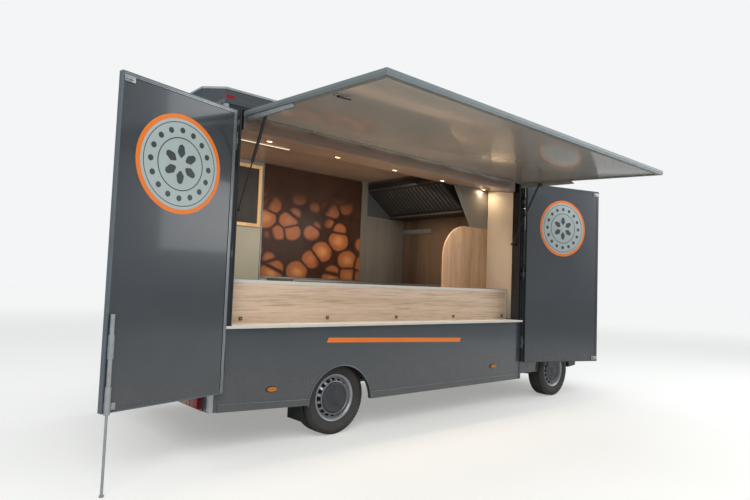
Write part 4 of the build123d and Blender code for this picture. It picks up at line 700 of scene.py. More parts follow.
class Draft:
    """Geometry gathered for one piece, with a finish for each of its parts."""

    def __init__(self, name: str, place: Matrix = VEHICLE) -> None:
        """Start a piece.

        Args:
            name: the piece's name.
            place: the matrix from the drawn millimetres to the frame's metres.
        """
        self.name = name
        self.place = place
        self.bm = bmesh.new()
        self.finishes: list[Finish] = []

    def dressed(self, faces: list[bmesh.types.BMFace], finish: Finish) -> int:
        """Give faces a finish.

        Args:
            faces: the faces.
            finish: what they are made of.

        Returns:
            The finish's material number in this draft.
        """
        if finish not in self.finishes:
            self.finishes.append(finish)
        number = self.finishes.index(finish)
        for face in faces:
            face.material_index = number
            face.smooth = True
        return number

    def taken(self, faces: list[bmesh.types.BMFace], finish: Finish, bevel: float) -> None:
        """Dress new faces and break their edges.

        Args:
            faces: the new faces, which form closed shells.
            finish: what they are made of.
            bevel: the width of their broken edges.
        """
        number = self.dressed(faces, finish)
        if bevel > 0:
            edges = list({e for f in faces for e in f.edges if e.calc_face_angle(0) > BEVEL_ANGLE})
            bmesh.ops.bevel(self.bm, geom=edges, offset=bevel, segments=2, profile=0.6,
                            affect="EDGES", clamp_overlap=True, material=number)

    def box(self, x: Span, y: Span, z: Span, finish: Finish, bevel: float = 1.5) -> None:
        """A block with broken edges.

        Args:
            x: its range along X.
            y: its range along Y.
            z: its range along Z.
            finish: what it is made of.
            bevel: the width of its broken edges.
        """
        middle = Vector(((x[0] + x[1]) / 2, (y[0] + y[1]) / 2, (z[0] + z[1]) / 2))
        size = Vector((x[1] - x[0], y[1] - y[0], z[1] - z[0], 1))
        made = bmesh.ops.create_cube(self.bm, size=1,
                                     matrix=Matrix.Translation(middle) @ Matrix.Diagonal(size))["verts"]
        self.taken(list({f for v in made for f in v.link_faces}), finish, bevel)

    def loft(self, rings: list[Path], finish: Finish, closed: bool = False, bevel: float = 0.0) -> None:
        """A skin through rings that all have the same number of points.

        Args:
            rings: the rings of points.
            finish: what it is made of.
            closed: whether the last ring joins the first; otherwise both ends are filled.
            bevel: the width of broken edges.
        """
        rows = [[self.bm.verts.new(p) for p in ring] for ring in rings]
        pairs = list(zip(rows, rows[1:] + rows[:1])) if closed else list(zip(rows, rows[1:]))
        faces = []
        count = len(rows[0])
        for a, b in pairs:
            for k in range(count):
                j = (k + 1) % count
                faces.append(self.bm.faces.new((a[k], a[j], b[j], b[k])))
        if not closed:
            faces += [self.bm.faces.new(rows[0][::-1]), self.bm.faces.new(rows[-1])]
        bmesh.ops.recalc_face_normals(self.bm, faces=faces)
        self.taken(faces, finish, bevel)

    def prism(self, points: Path, shift: Vector | Point, finish: Finish, bevel: float = 0.0) -> None:
        """A flat outline drawn out along a shift, its edges broken by a bevel."""
        self.loft([points, [Vector(p) + Vector(shift) for p in points]], finish, bevel=bevel)

    def bar(self, points: Path, radius: float, finish: Finish, sides: int = 12) -> None:
        """A round bar along the points of its centreline."""
        turns = [2 * math.pi * k / sides for k in range(sides)]
        self.strip(points, [(radius * math.cos(t), radius * math.sin(t)) for t in turns], None, finish)

    def strip(self, points: Path, section: Flat, up: Vector | None, finish: Finish, closed: bool = False) -> None:
        """A section drawn along points with mitred corners.

        Args:
            points: the path.
            section: the section's corners, across the path and along up.
            up: the section's second direction, or None for a round bar.
            finish: what it is made of.
            closed: whether the path's end joins its start.
        """
        points = [Vector(p) for p in points]
        count = len(points)
        rings = []
        last_up = up
        for k, point in enumerate(points):
            before = point - points[k - 1] if closed or k else points[1] - point
            after = points[(k + 1) % count] - point if closed or k < count - 1 else point - points[-2]
            before, after = before.normalized(), after.normalized()
            along = (before + after).normalized()
            wide = 1 / max(LEAST_MITRE, math.sqrt(max(0.0, (1 + before.dot(after)) / 2)))
            if last_up is None:
                last_up = along.orthogonal().normalized()
            level = (last_up - along * last_up.dot(along)).normalized()
            side = level.cross(along).normalized()
            if up is None:
                last_up = level
                wide = 1.0
            rings.append([point + side * (s * wide) + level * t for s, t in section])
        self.loft(rings, finish, closed)

    def spun(self, profile: Flat, centre: Vector | Point, axis: Vector, finish: Finish,
             steps: int = 48, closed: bool = False) -> None:
        """A profile spun about an axis.

        Args:
            profile: its points, as radius and height along the axis.
            centre: a point on the axis.
            axis: the axis's direction.
            finish: what it is made of.
            steps: how many sides it has.
            closed: whether the profile is a closed loop, as on a ring.
        """
        across = axis.orthogonal().normalized()
        other = axis.cross(across).normalized()
        turns = [2 * math.pi * k / steps for k in range(steps)]
        rings = [[Vector(centre) + axis * height + (across * math.cos(t) + other * math.sin(t)) * max(radius, POLE)
                  for t in turns] for radius, height in profile]
        self.loft(rings, finish, closed)

    def turn(self, angle: float) -> None:
        """Turn all that is drawn so far about the Y axis, by an angle in radians."""
        bmesh.ops.rotate(self.bm, verts=self.bm.verts, cent=HERE, matrix=Matrix.Rotation(angle, 3, "Y"))

    def repeated(self, unit: "Draft", count: int, start: Point, step: Point, ring: bool = False) -> None:
        """Copies of a drawn unit, set out by nodes.

        Args:
            unit: the unit, of one finish.
            count: how many copies.
            start: the first one's place, or the ring's centre.
            step: the shift, or the turn in radians, from one to the next.
            ring: whether they turn about a centre.
        """
        mesh = bpy.data.meshes.new("unit")
        unit.bm.to_mesh(mesh)
        finish = unit.finishes[0]
        made = set_out(mesh, ring, {"Count": count, "Start": start, "Step": step, "Material": PALETTE.get(finish)})
        known = len(self.bm.faces)
        self.bm.from_mesh(made)
        self.bm.faces.ensure_lookup_table()
        self.dressed(self.bm.faces[known:], finish)
        bpy.data.meshes.remove(made)
        bpy.data.meshes.remove(mesh)

    def ringed(self, unit: "Draft", count: int, centre: Point = HERE) -> None:
        """Copies of a drawn unit all round a centre, about the Y axis."""
        self.repeated(unit, count, centre, (0, 2 * math.pi / count, 0), ring=True)

    def piece(self, body: str, slot: str = "", replaces: tuple[str, ...] = (), sharp: float = 38) -> bpy.types.Object:
        """Turn the draft into a piece that rides on a body.

        Args:
            body: the body that carries it.
            slot: the record's material slot, if it has one; not used.
            replaces: the nodes that it stands for.
            sharp: the angle over which an edge stays sharp, in degrees.

        Returns:
            The piece's object.
        """
        mesh = bpy.data.meshes.new(self.name)
        self.bm.transform(self.place)
        self.bm.to_mesh(mesh)
        self.bm.free()
        mesh.set_sharp_from_angle(angle=math.radians(sharp))
        for finish in self.finishes:
            mesh.materials.append(PALETTE.get(finish))
        made = linked(self.name, mesh)
        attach(made, body)
        if replaces:
            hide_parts(*replaces)
        log.info("%s on %s, %d faces", self.name, body, len(mesh.polygons))
        return made


def dress(frame: dict, finishes: dict[str, Finish]) -> None:
    """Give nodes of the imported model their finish.

    Args:
        finishes: the finish of each node.
    """
    for name, finish in finishes.items():
        data = frame["nodes"][name].data
        data.materials.clear()
        data.materials.append(PALETTE.get(finish))


class Skin:
    """The outer face of some nodes, found by looking at it along a line."""

    def __init__(self, frame: dict, names: tuple[str, ...]) -> None:
        """Gather the nodes' faces.

        Args:
            names: the nodes.
        """
        points, faces = [], []
        for name in names:
            node = frame["nodes"][name]
            data = node.data
            base = len(points)
            points += [node.matrix_world @ v.co for v in data.vertices]
            faces += [tuple(base + k for k in p.vertices) for p in data.polygons]
        self.tree = BVHTree.FromPolygons(points, faces)

    def at(self, point: Vector, direction: Vector) -> Vector:
        """Where a line meets the skin.

        Args:
            point: where the line starts, in the vehicle's millimetres.
            direction: where it runs.

        Returns:
            The point met, in the vehicle's millimetres.
        """
        hit = self.tree.ray_cast(VEHICLE @ point, direction)[0]
        if hit is None:
            raise ValueError(f"nothing met from {tuple(point)}")
        return VEHICLE.inverted() @ hit


def remeshed(made: bpy.types.Object, voxel: float) -> bpy.types.Mesh:
    """An even mesh over a piece's form.

    Args:
        made: the piece.
        voxel: the mesh size in metres.

    Returns:
        The new mesh.
    """
    modifier = made.modifiers.new("even", "REMESH")
    modifier.mode = "VOXEL"
    modifier.voxel_size = voxel
    graph = bpy.context.evaluated_depsgraph_get()
    shape = bpy.data.meshes.new_from_object(made.evaluated_get(graph))
    made.modifiers.remove(modifier)
    return shape


def swollen(made: bpy.types.Object, shape: bpy.types.Mesh, cap: float) -> bpy.types.Mesh:
    """A mesh blown up as stuffed cloth.

    Args:
        made: the piece, which names the result.
        shape: the even mesh.
        cap: how far a point may move, in metres.

    Returns:
        The swollen mesh.
    """
    holder = linked("stuffing", shape)
    scene = bpy.context.scene
    modifier = holder.modifiers.new("stuffing", "CLOTH")
    modifier.settings.use_pressure = True
    modifier.settings.uniform_pressure_force = CUSHION_PRESSURE
    modifier.settings.effector_weights.gravity = 0
    modifier.settings.quality = 5
    modifier.point_cache.frame_end = CUSHION_FRAMES
    start = [v.co.copy() for v in shape.vertices]
    for step in range(1, CUSHION_FRAMES + 1):
        scene.frame_set(step)
    graph = bpy.context.evaluated_depsgraph_get()
    grown = bpy.data.meshes.new_from_object(holder.evaluated_get(graph))
    for vertex, before in zip(grown.vertices, start):
        move = vertex.co - before
        if move.length > cap:
            vertex.co = before + move * (cap / move.length)
    scene.frame_set(1)
    bpy.data.objects.remove(holder)
    log.info("%s swollen, %d points", made.name, len(grown.vertices))
    return grown


def level_rect(x: Span, z: Span, y: float) -> list[Point]:
    """The corners of an upright rectangle along the vehicle, from below the first one round."""
    return [(x[0], y, z[0]), (x[1], y, z[0]), (x[1], y, z[1]), (x[0], y, z[1])]


# Body

@dataclass
class BodyShell:
    """Trims and fittings of the box body's outside."""

    corner_leg: float = 34
    trim: float = 2.2
    skirt_bottom: float = 315
    skirt_rear_bottom: float = 365
    arch_x: float = 1325
    arch_z: float = 285
    arch_radius: float = 373
    crease_rise: float = 65
    rivet_pitch: float = 150
    rivets_each: int = 16
    chamfer: float = 150
    marker_z: float = 507
    markers_x: Span = (565, BODY_LENGTH - 573)
    seal_runs: tuple[Span, ...] = ((530, 694), (856, 1554), (1716, 2474), (2636, 2795))

    def corners(self) -> None:
        """Aluminium angles up the four corners."""
        draft = Draft("corner_angles")
        t, leg = self.trim, self.corner_leg
        for x, inward in ((0, 1), (BODY_LENGTH, -1)):
            low = self.skirt_rear_bottom if inward > 0 else self.skirt_bottom
            for y, in_y in ((KERB_Y, 1), (FAR_Y, -1)):
                a, b = (x - inward * t, y - in_y * t), (x + inward * leg, y - in_y * t)
                c, d = (x + inward * leg, y - in_y * 0.1), (x - inward * 0.1, y - in_y * 0.1)
                e, f = (x - inward * 0.1, y + in_y * leg), (x - inward * t, y + in_y * leg)
                points = [(*p, low) for p in (a, b, c, d, e, f)]
                top = EAVES_TOP - 42 if in_y > 0 else ROOF_TOP - 18
                draft.prism(points, (0, 0, top - low), ALUMINIUM if inward > 0 else DARK_PROFILE)
        draft.piece("root", "zinc_steel")

    def eaves(self) -> None:
        """The edge profile round the flat eaves, with its drip lip."""
        draft = Draft("eaves_profile")
        path = [(x, y, EAVES_TOP) for x, y in
                ((0, ROOF_STEP_Y - 3), (0, KERB_Y), (BODY_LENGTH, KERB_Y), (BODY_LENGTH, ROOF_STEP_Y - 3))]
        section = [(26, 0.3), (26, 2.2), (-1, 3), (-3.5, 1), (-3.5, -34), (-7, -38), (-6, -41), (-0.3, -38),
                   (-0.3, 0.3)]
        draft.strip(path, section, Z_AXIS, BODY_PAINT)
        draft.piece("root", "body_paint")

    def roof_edge(self) -> None:
        """The pale cap strip along the raised roof's upper edge."""
        draft = Draft("raised_roof_cap")
        y, c = ROOF_STEP_Y, self.chamfer
        path = [(0, y), (c, y - c), (BODY_LENGTH - c, y - c), (BODY_LENGTH, y), (BODY_LENGTH, FAR_Y), (0, FAR_Y)]
        section = [(-3, -16), (-3, 3), (24, 3), (24, 0.3), (-0.3, 0.3), (-0.3, -16)]
        draft.strip([(*p, ROOF_TOP) for p in path], section, Z_AXIS, ALUMINIUM, closed=True)
        draft.piece("root", "zinc_steel")

    def crease(self, x: float) -> float:
        """The height of the sill's crease, which climbs behind the rear arch."""
        ahead, climb = self.arch_x - self.arch_radius, self.skirt_rear_bottom - self.skirt_bottom - 12
        return self.skirt_bottom + self.crease_rise + (12 + climb * (1 - x / ahead) if x < ahead else 0)

    def sills(self) -> None:
        """Grey crease strips over the sills, and the arch lips."""
        draft = Draft("sill_strips")
        half = math.sqrt(self.arch_radius ** 2 - (self.skirt_bottom + self.crease_rise - self.arch_z) ** 2)
        runs = (70, self.arch_x - half - 12), (self.arch_x + half + 12, BODY_LENGTH - 40)
        start = math.asin((self.skirt_bottom + 2 - self.arch_z) / self.arch_radius)
        arc = [start + (math.pi - 2 * start) * k / 40 for k in range(41)]
        for side in (-1, 1):
            crease = [(0, -1), (side * 4, -1), (side * 5, 1), (side * 4, 3), (0, 4)][::side]
            for run in runs:
                draft.strip([(x, side * (FAR_Y + 4), self.crease(x)) for x in run], crease, Z_AXIS, GREY_PROFILE)
            lip = [(self.arch_x + self.arch_radius * math.cos(a), side * FAR_Y,
                    self.arch_z + self.arch_radius * math.sin(a)) for a in arc]
            section = [(-2, 0), (8, 0), (8, 4.5), (4, 6.5), (-2, 6.5)]
            draft.strip(lip, [(s * side, t) for s, t in section], Y_AXIS * side, SLATE_PROFILE)
        draft.piece("root", "zinc_steel")

    def stripe(self) -> None:
        """The slanting orange stripe below the hatch."""
        draft = Draft("side_stripe")
        points = [(x, KERB_Y - 0.2, z) for x, z in ((1135, 880), (3010, 820), (3028, 864), (1153, 924))]
        draft.prism(points, (0, -0.6, 0), SIGN_ORANGE)
        draft.piece("root", "amber_lens")

    def rivets(self) -> None:
        """Blind rivets down the corner angles."""
        draft = Draft("body_rivets")
        for side in (-1, 1):
            unit = Draft("rivet")
            unit.spun([(4.4, 0), (4.2, 1.2), (2.8, 2.2), (0, 2.5)], (0, side * (FAR_Y + 2.2), 0), Y_AXIS * side,
                      ALUMINIUM, 10)
            for x in (17, BODY_LENGTH - 17):
                draft.repeated(unit, self.rivets_each, (x, 0, 480), (0, 0, self.rivet_pitch))
        draft.piece("root", "zinc_steel")

    def markers(self) -> None:
        """Dark rubber surrounds of the oval side lamps."""
        draft = Draft("marker_surrounds")
        turns = [2 * math.pi * k / 36 for k in range(36)]
        for x in self.markers_x:
            for side in (-1, 1):
                path = [(x + 50 * math.cos(t), side * (FAR_Y + 0.2), self.marker_z + 22 * math.sin(t)) for t in turns]
                draft.strip(path, [(-4, 0), (4, 0), (3, 5), (-3, 5)], Y_AXIS * side, RUBBER_SEAL, closed=True)
        draft.piece("root", "strut_black")

    def wing_seal(self) -> None:
        """The rubber lip that closes the gap between the front corner and the wing, clear of its hinges."""
        draft = Draft("wing_gap_seal")
        section = [(4186, -1102.4), (4184, -1118), (4188, -1130), (4194, -1132), (4199, -1128), (4199, -1102.4)]
        for low, high in self.seal_runs:
            draft.prism([(x, y, low) for x, y in section], (0, 0, high - low), RUBBER_SEAL, 1.5)
        draft.piece("root", "strut_black")

    def build(self) -> None:
        """Make every piece."""
        self.wing_seal()
        self.corners()
        self.eaves()
        self.roof_edge()
        self.sills()
        self.stripe()
        self.rivets()
        self.markers()


# Flap

@dataclass
class Hatch:
    """The flap's lining, edge profiles, seals and fittings."""

    edge: float = 35
    lip: float = 44
    plate_length: float = 690
    screws: int = 6
    catch_x: float = 262
    catch_z: float = 1656

    def profiles(self) -> None:
        """The grey double edge profile round the flap."""
        draft = Draft("flap_edge_profile", FLAP_PLACE)
        out, back = KERB_Y, KERB_Y + FLAP_THICK
        path = level_rect(FLAP_X, FLAP_Z, 0)
        lip, t = self.lip, 2.0
        section = [(lip - 10, out - t), (-t, out - t), (-t, out + 14), (-t - 2, out + 18), (-t - 2, out + 24),
                   (-t, out + 28), (-t, back + t), (lip, back + t), (lip, back + 0.2), (-0.2, back + 0.2),
                   (-0.2, out - 0.2), (lip - 10, out - 0.2)]
        draft.strip(path, [(-s, t) for s, t in section], Y_AXIS, GREY_PROFILE, closed=True)
        draft.piece("flap", "zinc_steel")

    def lining(self) -> None:
        """The glossy lining sheet on the flap's inner face."""
        draft = Draft("flap_lining", FLAP_PLACE)
        y = KERB_Y + FLAP_THICK
        x, z = ((low + self.edge + 1, high - self.edge - 1) for low, high in (FLAP_X, FLAP_Z))
        draft.box(x, (y - 5.8, y - 1.5), z, TAUPE_LAMINATE, 1.0)
        draft.piece("flap", "flap_panel")

    def seal(self) -> None:
        """The bulb seal that the flap closes on, round the hatch."""
        draft = Draft("hatch_seal")
        path = level_rect((HATCH_X[0] - 9, HATCH_X[1] + 9), (SHELF_TOP - 30, 2846), KERB_Y)
        path = [path[0], path[3], path[2], path[1]]
        draft.strip(path, [(-7, 0.2), (7, 0.2), (6, 4), (0, 6.5), (-6, 4)], -Y_AXIS, RUBBER_SEAL)
        draft.piece("root", "strut_black")

    def plates(self) -> None:
        """Bright skins of the tapered end plates, and their screws."""
        draft = Draft("flap_end_plates", FLAP_PLACE)
        inner = KERB_Y + FLAP_THICK
        top, low = FLAP_Z[1] - 20, FLAP_Z[1] - 60 - self.plate_length
        shape = [(inner + 2.2, top), (inner + 52, top), (inner + 36, low), (inner + 2.2, low + 40)]
        for x in (FLAP_X[0] + 8, FLAP_X[1] - 16):
            for face, out in ((x, -1), (x + 8, 1)):
                points = [(face + out * 0.3, y, z) for y, z in inset(shape, 2)]
                draft.prism(points, (out * 1.4, 0, 0), ALUMINIUM, 0.4)
            unit = Draft("screw")
            unit.spun([(5, 0), (5, 2), (3.5, 3.4), (0, 3.6)], (x - 1.8, inner + 16, 0), -X_AXIS, ZINC, 10)
            draft.repeated(unit, self.screws, (0, 0, low + 90), (0, 0, 105))
        draft.piece("flap", "zinc_steel")

    def catch(self) -> None:
        """The lever catch on the flap's inner face near its rear end."""
        draft = Draft("flap_catch", FLAP_PLACE)
        x, y, z = self.catch_x, KERB_Y + FLAP_THICK, self.catch_z
        draft.box((x - 26, x + 34), (y + 0.3, y + 7), (z - 28, z + 28), ZINC, 3)
        draft.spun([(13, 0), (13, 9), (9, 13), (0, 13)], (x, y + 7, z), Y_AXIS, SATIN_BLACK, 24)
        lever = [(x, y + 14, z), (x + 38, y + 19, z - 16), (x + 84, y + 21, z - 34)]
        draft.strip(lever, [(-9, -3), (9, -3), (7, 3), (-7, 3)], Y_AXIS, SATIN_BLACK)
        draft.piece("flap", "zinc_steel")

    def build(self) -> None:
        """Make every piece."""
        self.profiles()
        self.lining()
        self.seal()
        self.plates()
        self.catch()


# Wings

class Way(Enum):
    """Which way a wing points from its hinge."""

    REAR = -1
    FRONT = 1


@dataclass
class Wing:
    """A hinged wing panel's edges, latch and sign."""

    way: Way
    hinge_x: float
    width: float
    degrees: float
    sign_along: float
    sign_z: float = 2257
    sign_radius: float = 368
    dots: int = 16
    petals: int = 6

    @property
    def body(self) -> str:
        """The body that carries it."""
        return f"wing_{self.way.name.lower()}"

    @property
    def place(self) -> Matrix:
        """Its turned-out place."""
        return turned(Vector((self.hinge_x, WING_HINGE_Y, 0)), "Z", self.degrees)

    def along(self, reach: float) -> float:
        """The X of a place at a reach from the hinge, with the wing closed."""
        return self.hinge_x + self.way.value * reach

    def edges(self) -> None:
        """The profile round the panel, and on the rear wing the two light beads beside it."""
        draft = Draft(f"{self.body}_edge_profile", self.place)
        x = sorted((self.along(30), self.along(self.width)))
        y0, y1 = WING_HINGE_Y - WING_HALF, WING_HINGE_Y + WING_HALF
        path = level_rect(x, WING_Z, 0)
        section = [(7, y0 - 1.6), (-1.6, y0 - 1.6), (-1.6, y0 + 13), (-0.6, y0 + 15), (-0.6, y0 + 25),
                   (-1.6, y0 + 27), (-1.6, y1 + 1.6), (7, y1 + 1.6), (7, y1 + 0.2), (-0.2, y1 + 0.2),
                   (-0.2, y0 - 0.2), (7, y0 - 0.2)]
        rear = self.way is Way.REAR
        draft.strip(path, [(-s, t) for s, t in section], Y_AXIS, SLATE_PROFILE if rear else DARK_PROFILE, closed=True)
        for gap in (8.5, 20) if rear else ():
            face, end, top = (y0 - 2.2, y0 - 0.3), x[1] - gap, WING_Z[1] - gap
            draft.box((x[0] + 9, end), face, (top - 6, top), ALUMINIUM, 0.5)
            draft.box((end - 6, end), face, (WING_Z[0] + 9, top - 6.2), ALUMINIUM, 0.5)
        draft.piece(self.body, "zinc_steel")

    def latch(self) -> None:
        """The latch plates at the free corners, with their bolts."""
        draft = Draft(f"{self.body}_latches", self.place)
        y = WING_HINGE_Y - WING_HALF
        low, high, knob, bolt_low, bolt_high = (self.along(self.width - back) for back in (10, 92, 62, 12, 50))
        for z in (WING_Z[1] - 46, WING_Z[0] + 40):
            draft.box(sorted((low, high)), (y - 6, y - 0.2), (z - 22, z + 22), ZINC, 3)
            draft.spun([(13, 0), (13, 9), (10, 13), (0, 13)], (knob, y - 6, z), -Y_AXIS, ZINC, 20)
            draft.box(sorted((bolt_low, bolt_high)), (y - 12, y - 6), (z - 6, z + 6), ZINC, 2)
        draft.piece(self.body, "zinc_steel")

    def sign(self) -> None:
        """The round sign: a pale disc in an orange ring, with thin dark rings, dots and petals."""
        draft = Draft(f"{self.body}_sign", self.place)
        centre = (self.along(self.sign_along), WING_HINGE_Y - 16.2, self.sign_z)
        out, r = -Y_AXIS, self.sign_radius
        draft.spun([(0, 0), (0, 0.8), (r, 0.8), (r, 0)], centre, out, SIGN_ORANGE, 96)
        draft.spun([(0, 0.9), (0, 1.4), (r - 34, 1.4), (r - 34, 0.9)], centre, out, SIGN_DISC, 96)
        for low, high, steps in ((r - 62, r - 56, 96), (r - 178, r - 170, 72)):
            draft.spun([(low, 1.5), (low, 1.9), (high, 1.9), (high, 1.5)], centre, out, SIGN_DARK, steps, closed=True)
        unit = Draft("dot")
        unit.spun([(0, 1.5), (0, 1.9), (22, 1.9), (22, 1.5)], (0, 0, r - 116), out, SIGN_DARK, 20)
        draft.ringed(unit, self.dots, centre)
        petal = Draft("petal")
        points = [(0, 40), (34, 84), (22, 136), (0, 150), (-22, 136), (-34, 84)]
        petal.prism([(x, -1.5, z) for x, z in rounded(points, 16)], (0, -0.4, 0), SIGN_DARK)
        draft.ringed(petal, self.petals, centre)
        draft.piece(self.body)

    def build(self) -> None:
        """Make every piece."""
        self.edges()
        self.latch()
        self.sign()


# Wheels

@dataclass
class Wheels:
    """Tyres with their tread, pressed wheels, caps and valves.

    Profiles are radius and height along the axle, away from the vehicle.
    """

    blocks: int = 64
    ribs: tuple[Span, ...] = ((-70, 30), (-34, 28), (0, 28), (34, 28), (70, 30))
    tread_foot: float = 331
    spokes: int = 16
    bolts: int = 5

    def carcass(self, draft: Draft) -> None:
        """The tyre's casing.

        Args:
            draft: takes the geometry.
        """
        half = TYRE_WIDTH / 2
        side = [(r, half - back) for r, back in (
            (206, 32), (224, 29), (229, 20), (232, 20), (245, 12), (262, 5), (264, 6.5), (270, 4), (286, 2), (300, 3),
            (302, 5), (318, 11), (330, 22), (334, 32))]
        profile = side + [(336, 0)] + [(r, -h) for r, h in reversed(side)]
        draft.spun(profile, HERE, Y_AXIS, TYRE_RUBBER, 96, closed=True)

    def tread(self, draft: Draft) -> None:
        """Blocks of the tread, staggered from rib to rib.

        Args:
            draft: takes the geometry.
        """
        pitch = 2 * math.pi / self.blocks
        length = TYRE_RADIUS * pitch - 6
        for k, (y, wide) in enumerate(self.ribs):
            unit = Draft("block")
            crown = TYRE_RADIUS - 0.6 - abs(y) * 0.035
            skew = 4 if k % 2 else -4
            points = [(x * length / 2 + across * skew, y + across * wide / 2, self.tread_foot)
                      for x, across in ((-1, -1), (1, -1), (1, 1), (-1, 1))]
            unit.prism(points, (0, 0, crown - self.tread_foot), TYRE_RUBBER, 1.2)
            unit.turn(pitch / 2 * (k % 2))
            draft.ringed(unit, self.blocks)

    def steel(self, draft: Draft) -> None:
        """The pressed steel wheel: flanged barrel, domed disc, slots between spokes, hub and brake drum.

        Args:
            draft: takes the geometry.
        """
        flange = [(203, 79), (219, 80.5), (222, 83), (222, 87), (219, 89), (214, 88), (205, 80), (198, 74), (194, 50)]
        barrel = flange + [(190, 30), (190, -30)] + [(r, -h) for r, h in reversed(flange)]
        dome = [(44, 40), (90, 48), (128, 66), (144, 76), (147, 88), (152, 93), (157, 91), (159, 82), (156, 72),
                (148, 66), (130, 56), (92, 38), (44, 30)]
        outer = [(182, 53), (193.6, 48), (193.6, 30), (188, 34), (182, 43)]
        hub = [(43, -48), (70, -48), (70, 34), (43, 34)]
        drum = [(72, -36), (170, -36), (180, -30), (180, 4), (172, 16), (72, 22)]
        for profile in (barrel, dome, outer, hub):
            draft.spun(profile, HERE, Y_AXIS, RIM_SILVER, 96, closed=True)
        draft.spun(drum, HERE, Y_AXIS, SATIN_BLACK, 96, closed=True)
        unit = Draft("spoke")
        unit.loft([[(x, y, r) for x, y in ((-w, h), (w, h), (w + 1, h - 9), (-w - 1, h - 9))]
                   for r, h, w in ((152, 78, 15), (164, 70, 11.5), (174, 61, 11.5), (186, 51, 16))], RIM_SILVER,
                  bevel=1.5)
        unit.turn(math.pi / self.spokes)
        draft.ringed(unit, self.spokes)

    def wheel(self, axle: str, side: str) -> None:
        """One wheel: tyre, pressed steel wheel, hub cap and valve.

        Args:
            axle: front or rear.
            side: left or right.
        """
        x = FRONT_AXLE_X if axle == "front" else REAR_AXLE_X
        out = 1 if side == "left" else -1
        turn = Matrix() if out > 0 else Matrix.Rotation(math.pi, 4, "Z")
        place = VEHICLE @ Matrix.Translation(Vector((x, out * WHEEL_Y, TYRE_RADIUS))) @ turn
        body = f"wheel_{axle}_{side}"
        tyre = Draft(f"road_tyre_{axle}_{side}", place)
        self.carcass(tyre)
        self.tread(tyre)
        tyre.piece(body, "tyre", (f"tyre_{axle}_{side}",))
        steel = Draft(f"steel_wheel_{axle}_{side}", place)
        self.steel(steel)
        steel.piece(body, "rim_silver", (f"rim_{axle}_{side}",))
        cap = Draft(f"hub_cap_{axle}_{side}", place)
        cap.spun([(0, 76), (143, 76), (146, 88), (143, 94), (136, 97), (124, 98), (118, 96), (60, 93), (54, 95),
                  (0, 95)], HERE, Y_AXIS, CAP_DARK, 72)
        unit = Draft("bolt_cover")
        unit.spun([(13, 91), (12, 97), (9, 99), (0, 99)], (0, 0, 88), Y_AXIS, CAP_DARK, 18)
        cap.ringed(unit, self.bolts)
        cap.piece(body, "rim_silver")
        valve = Draft(f"tyre_valve_{axle}_{side}", place)
        valve.bar([(0, 26, 186), (0, 52, 180), (0, 70, 172)], 4.5, RUBBER_SEAL, 10)
        valve.bar([(0, 68, 173), (0, 78, 168)], 3.4, ZINC, 10)
        valve.piece(body, "tyre")

    def build(self) -> None:
        """Make all four."""
        for axle in ("front", "rear"):
            for side in ("left", "right"):
                self.wheel(axle, side)


# Inside

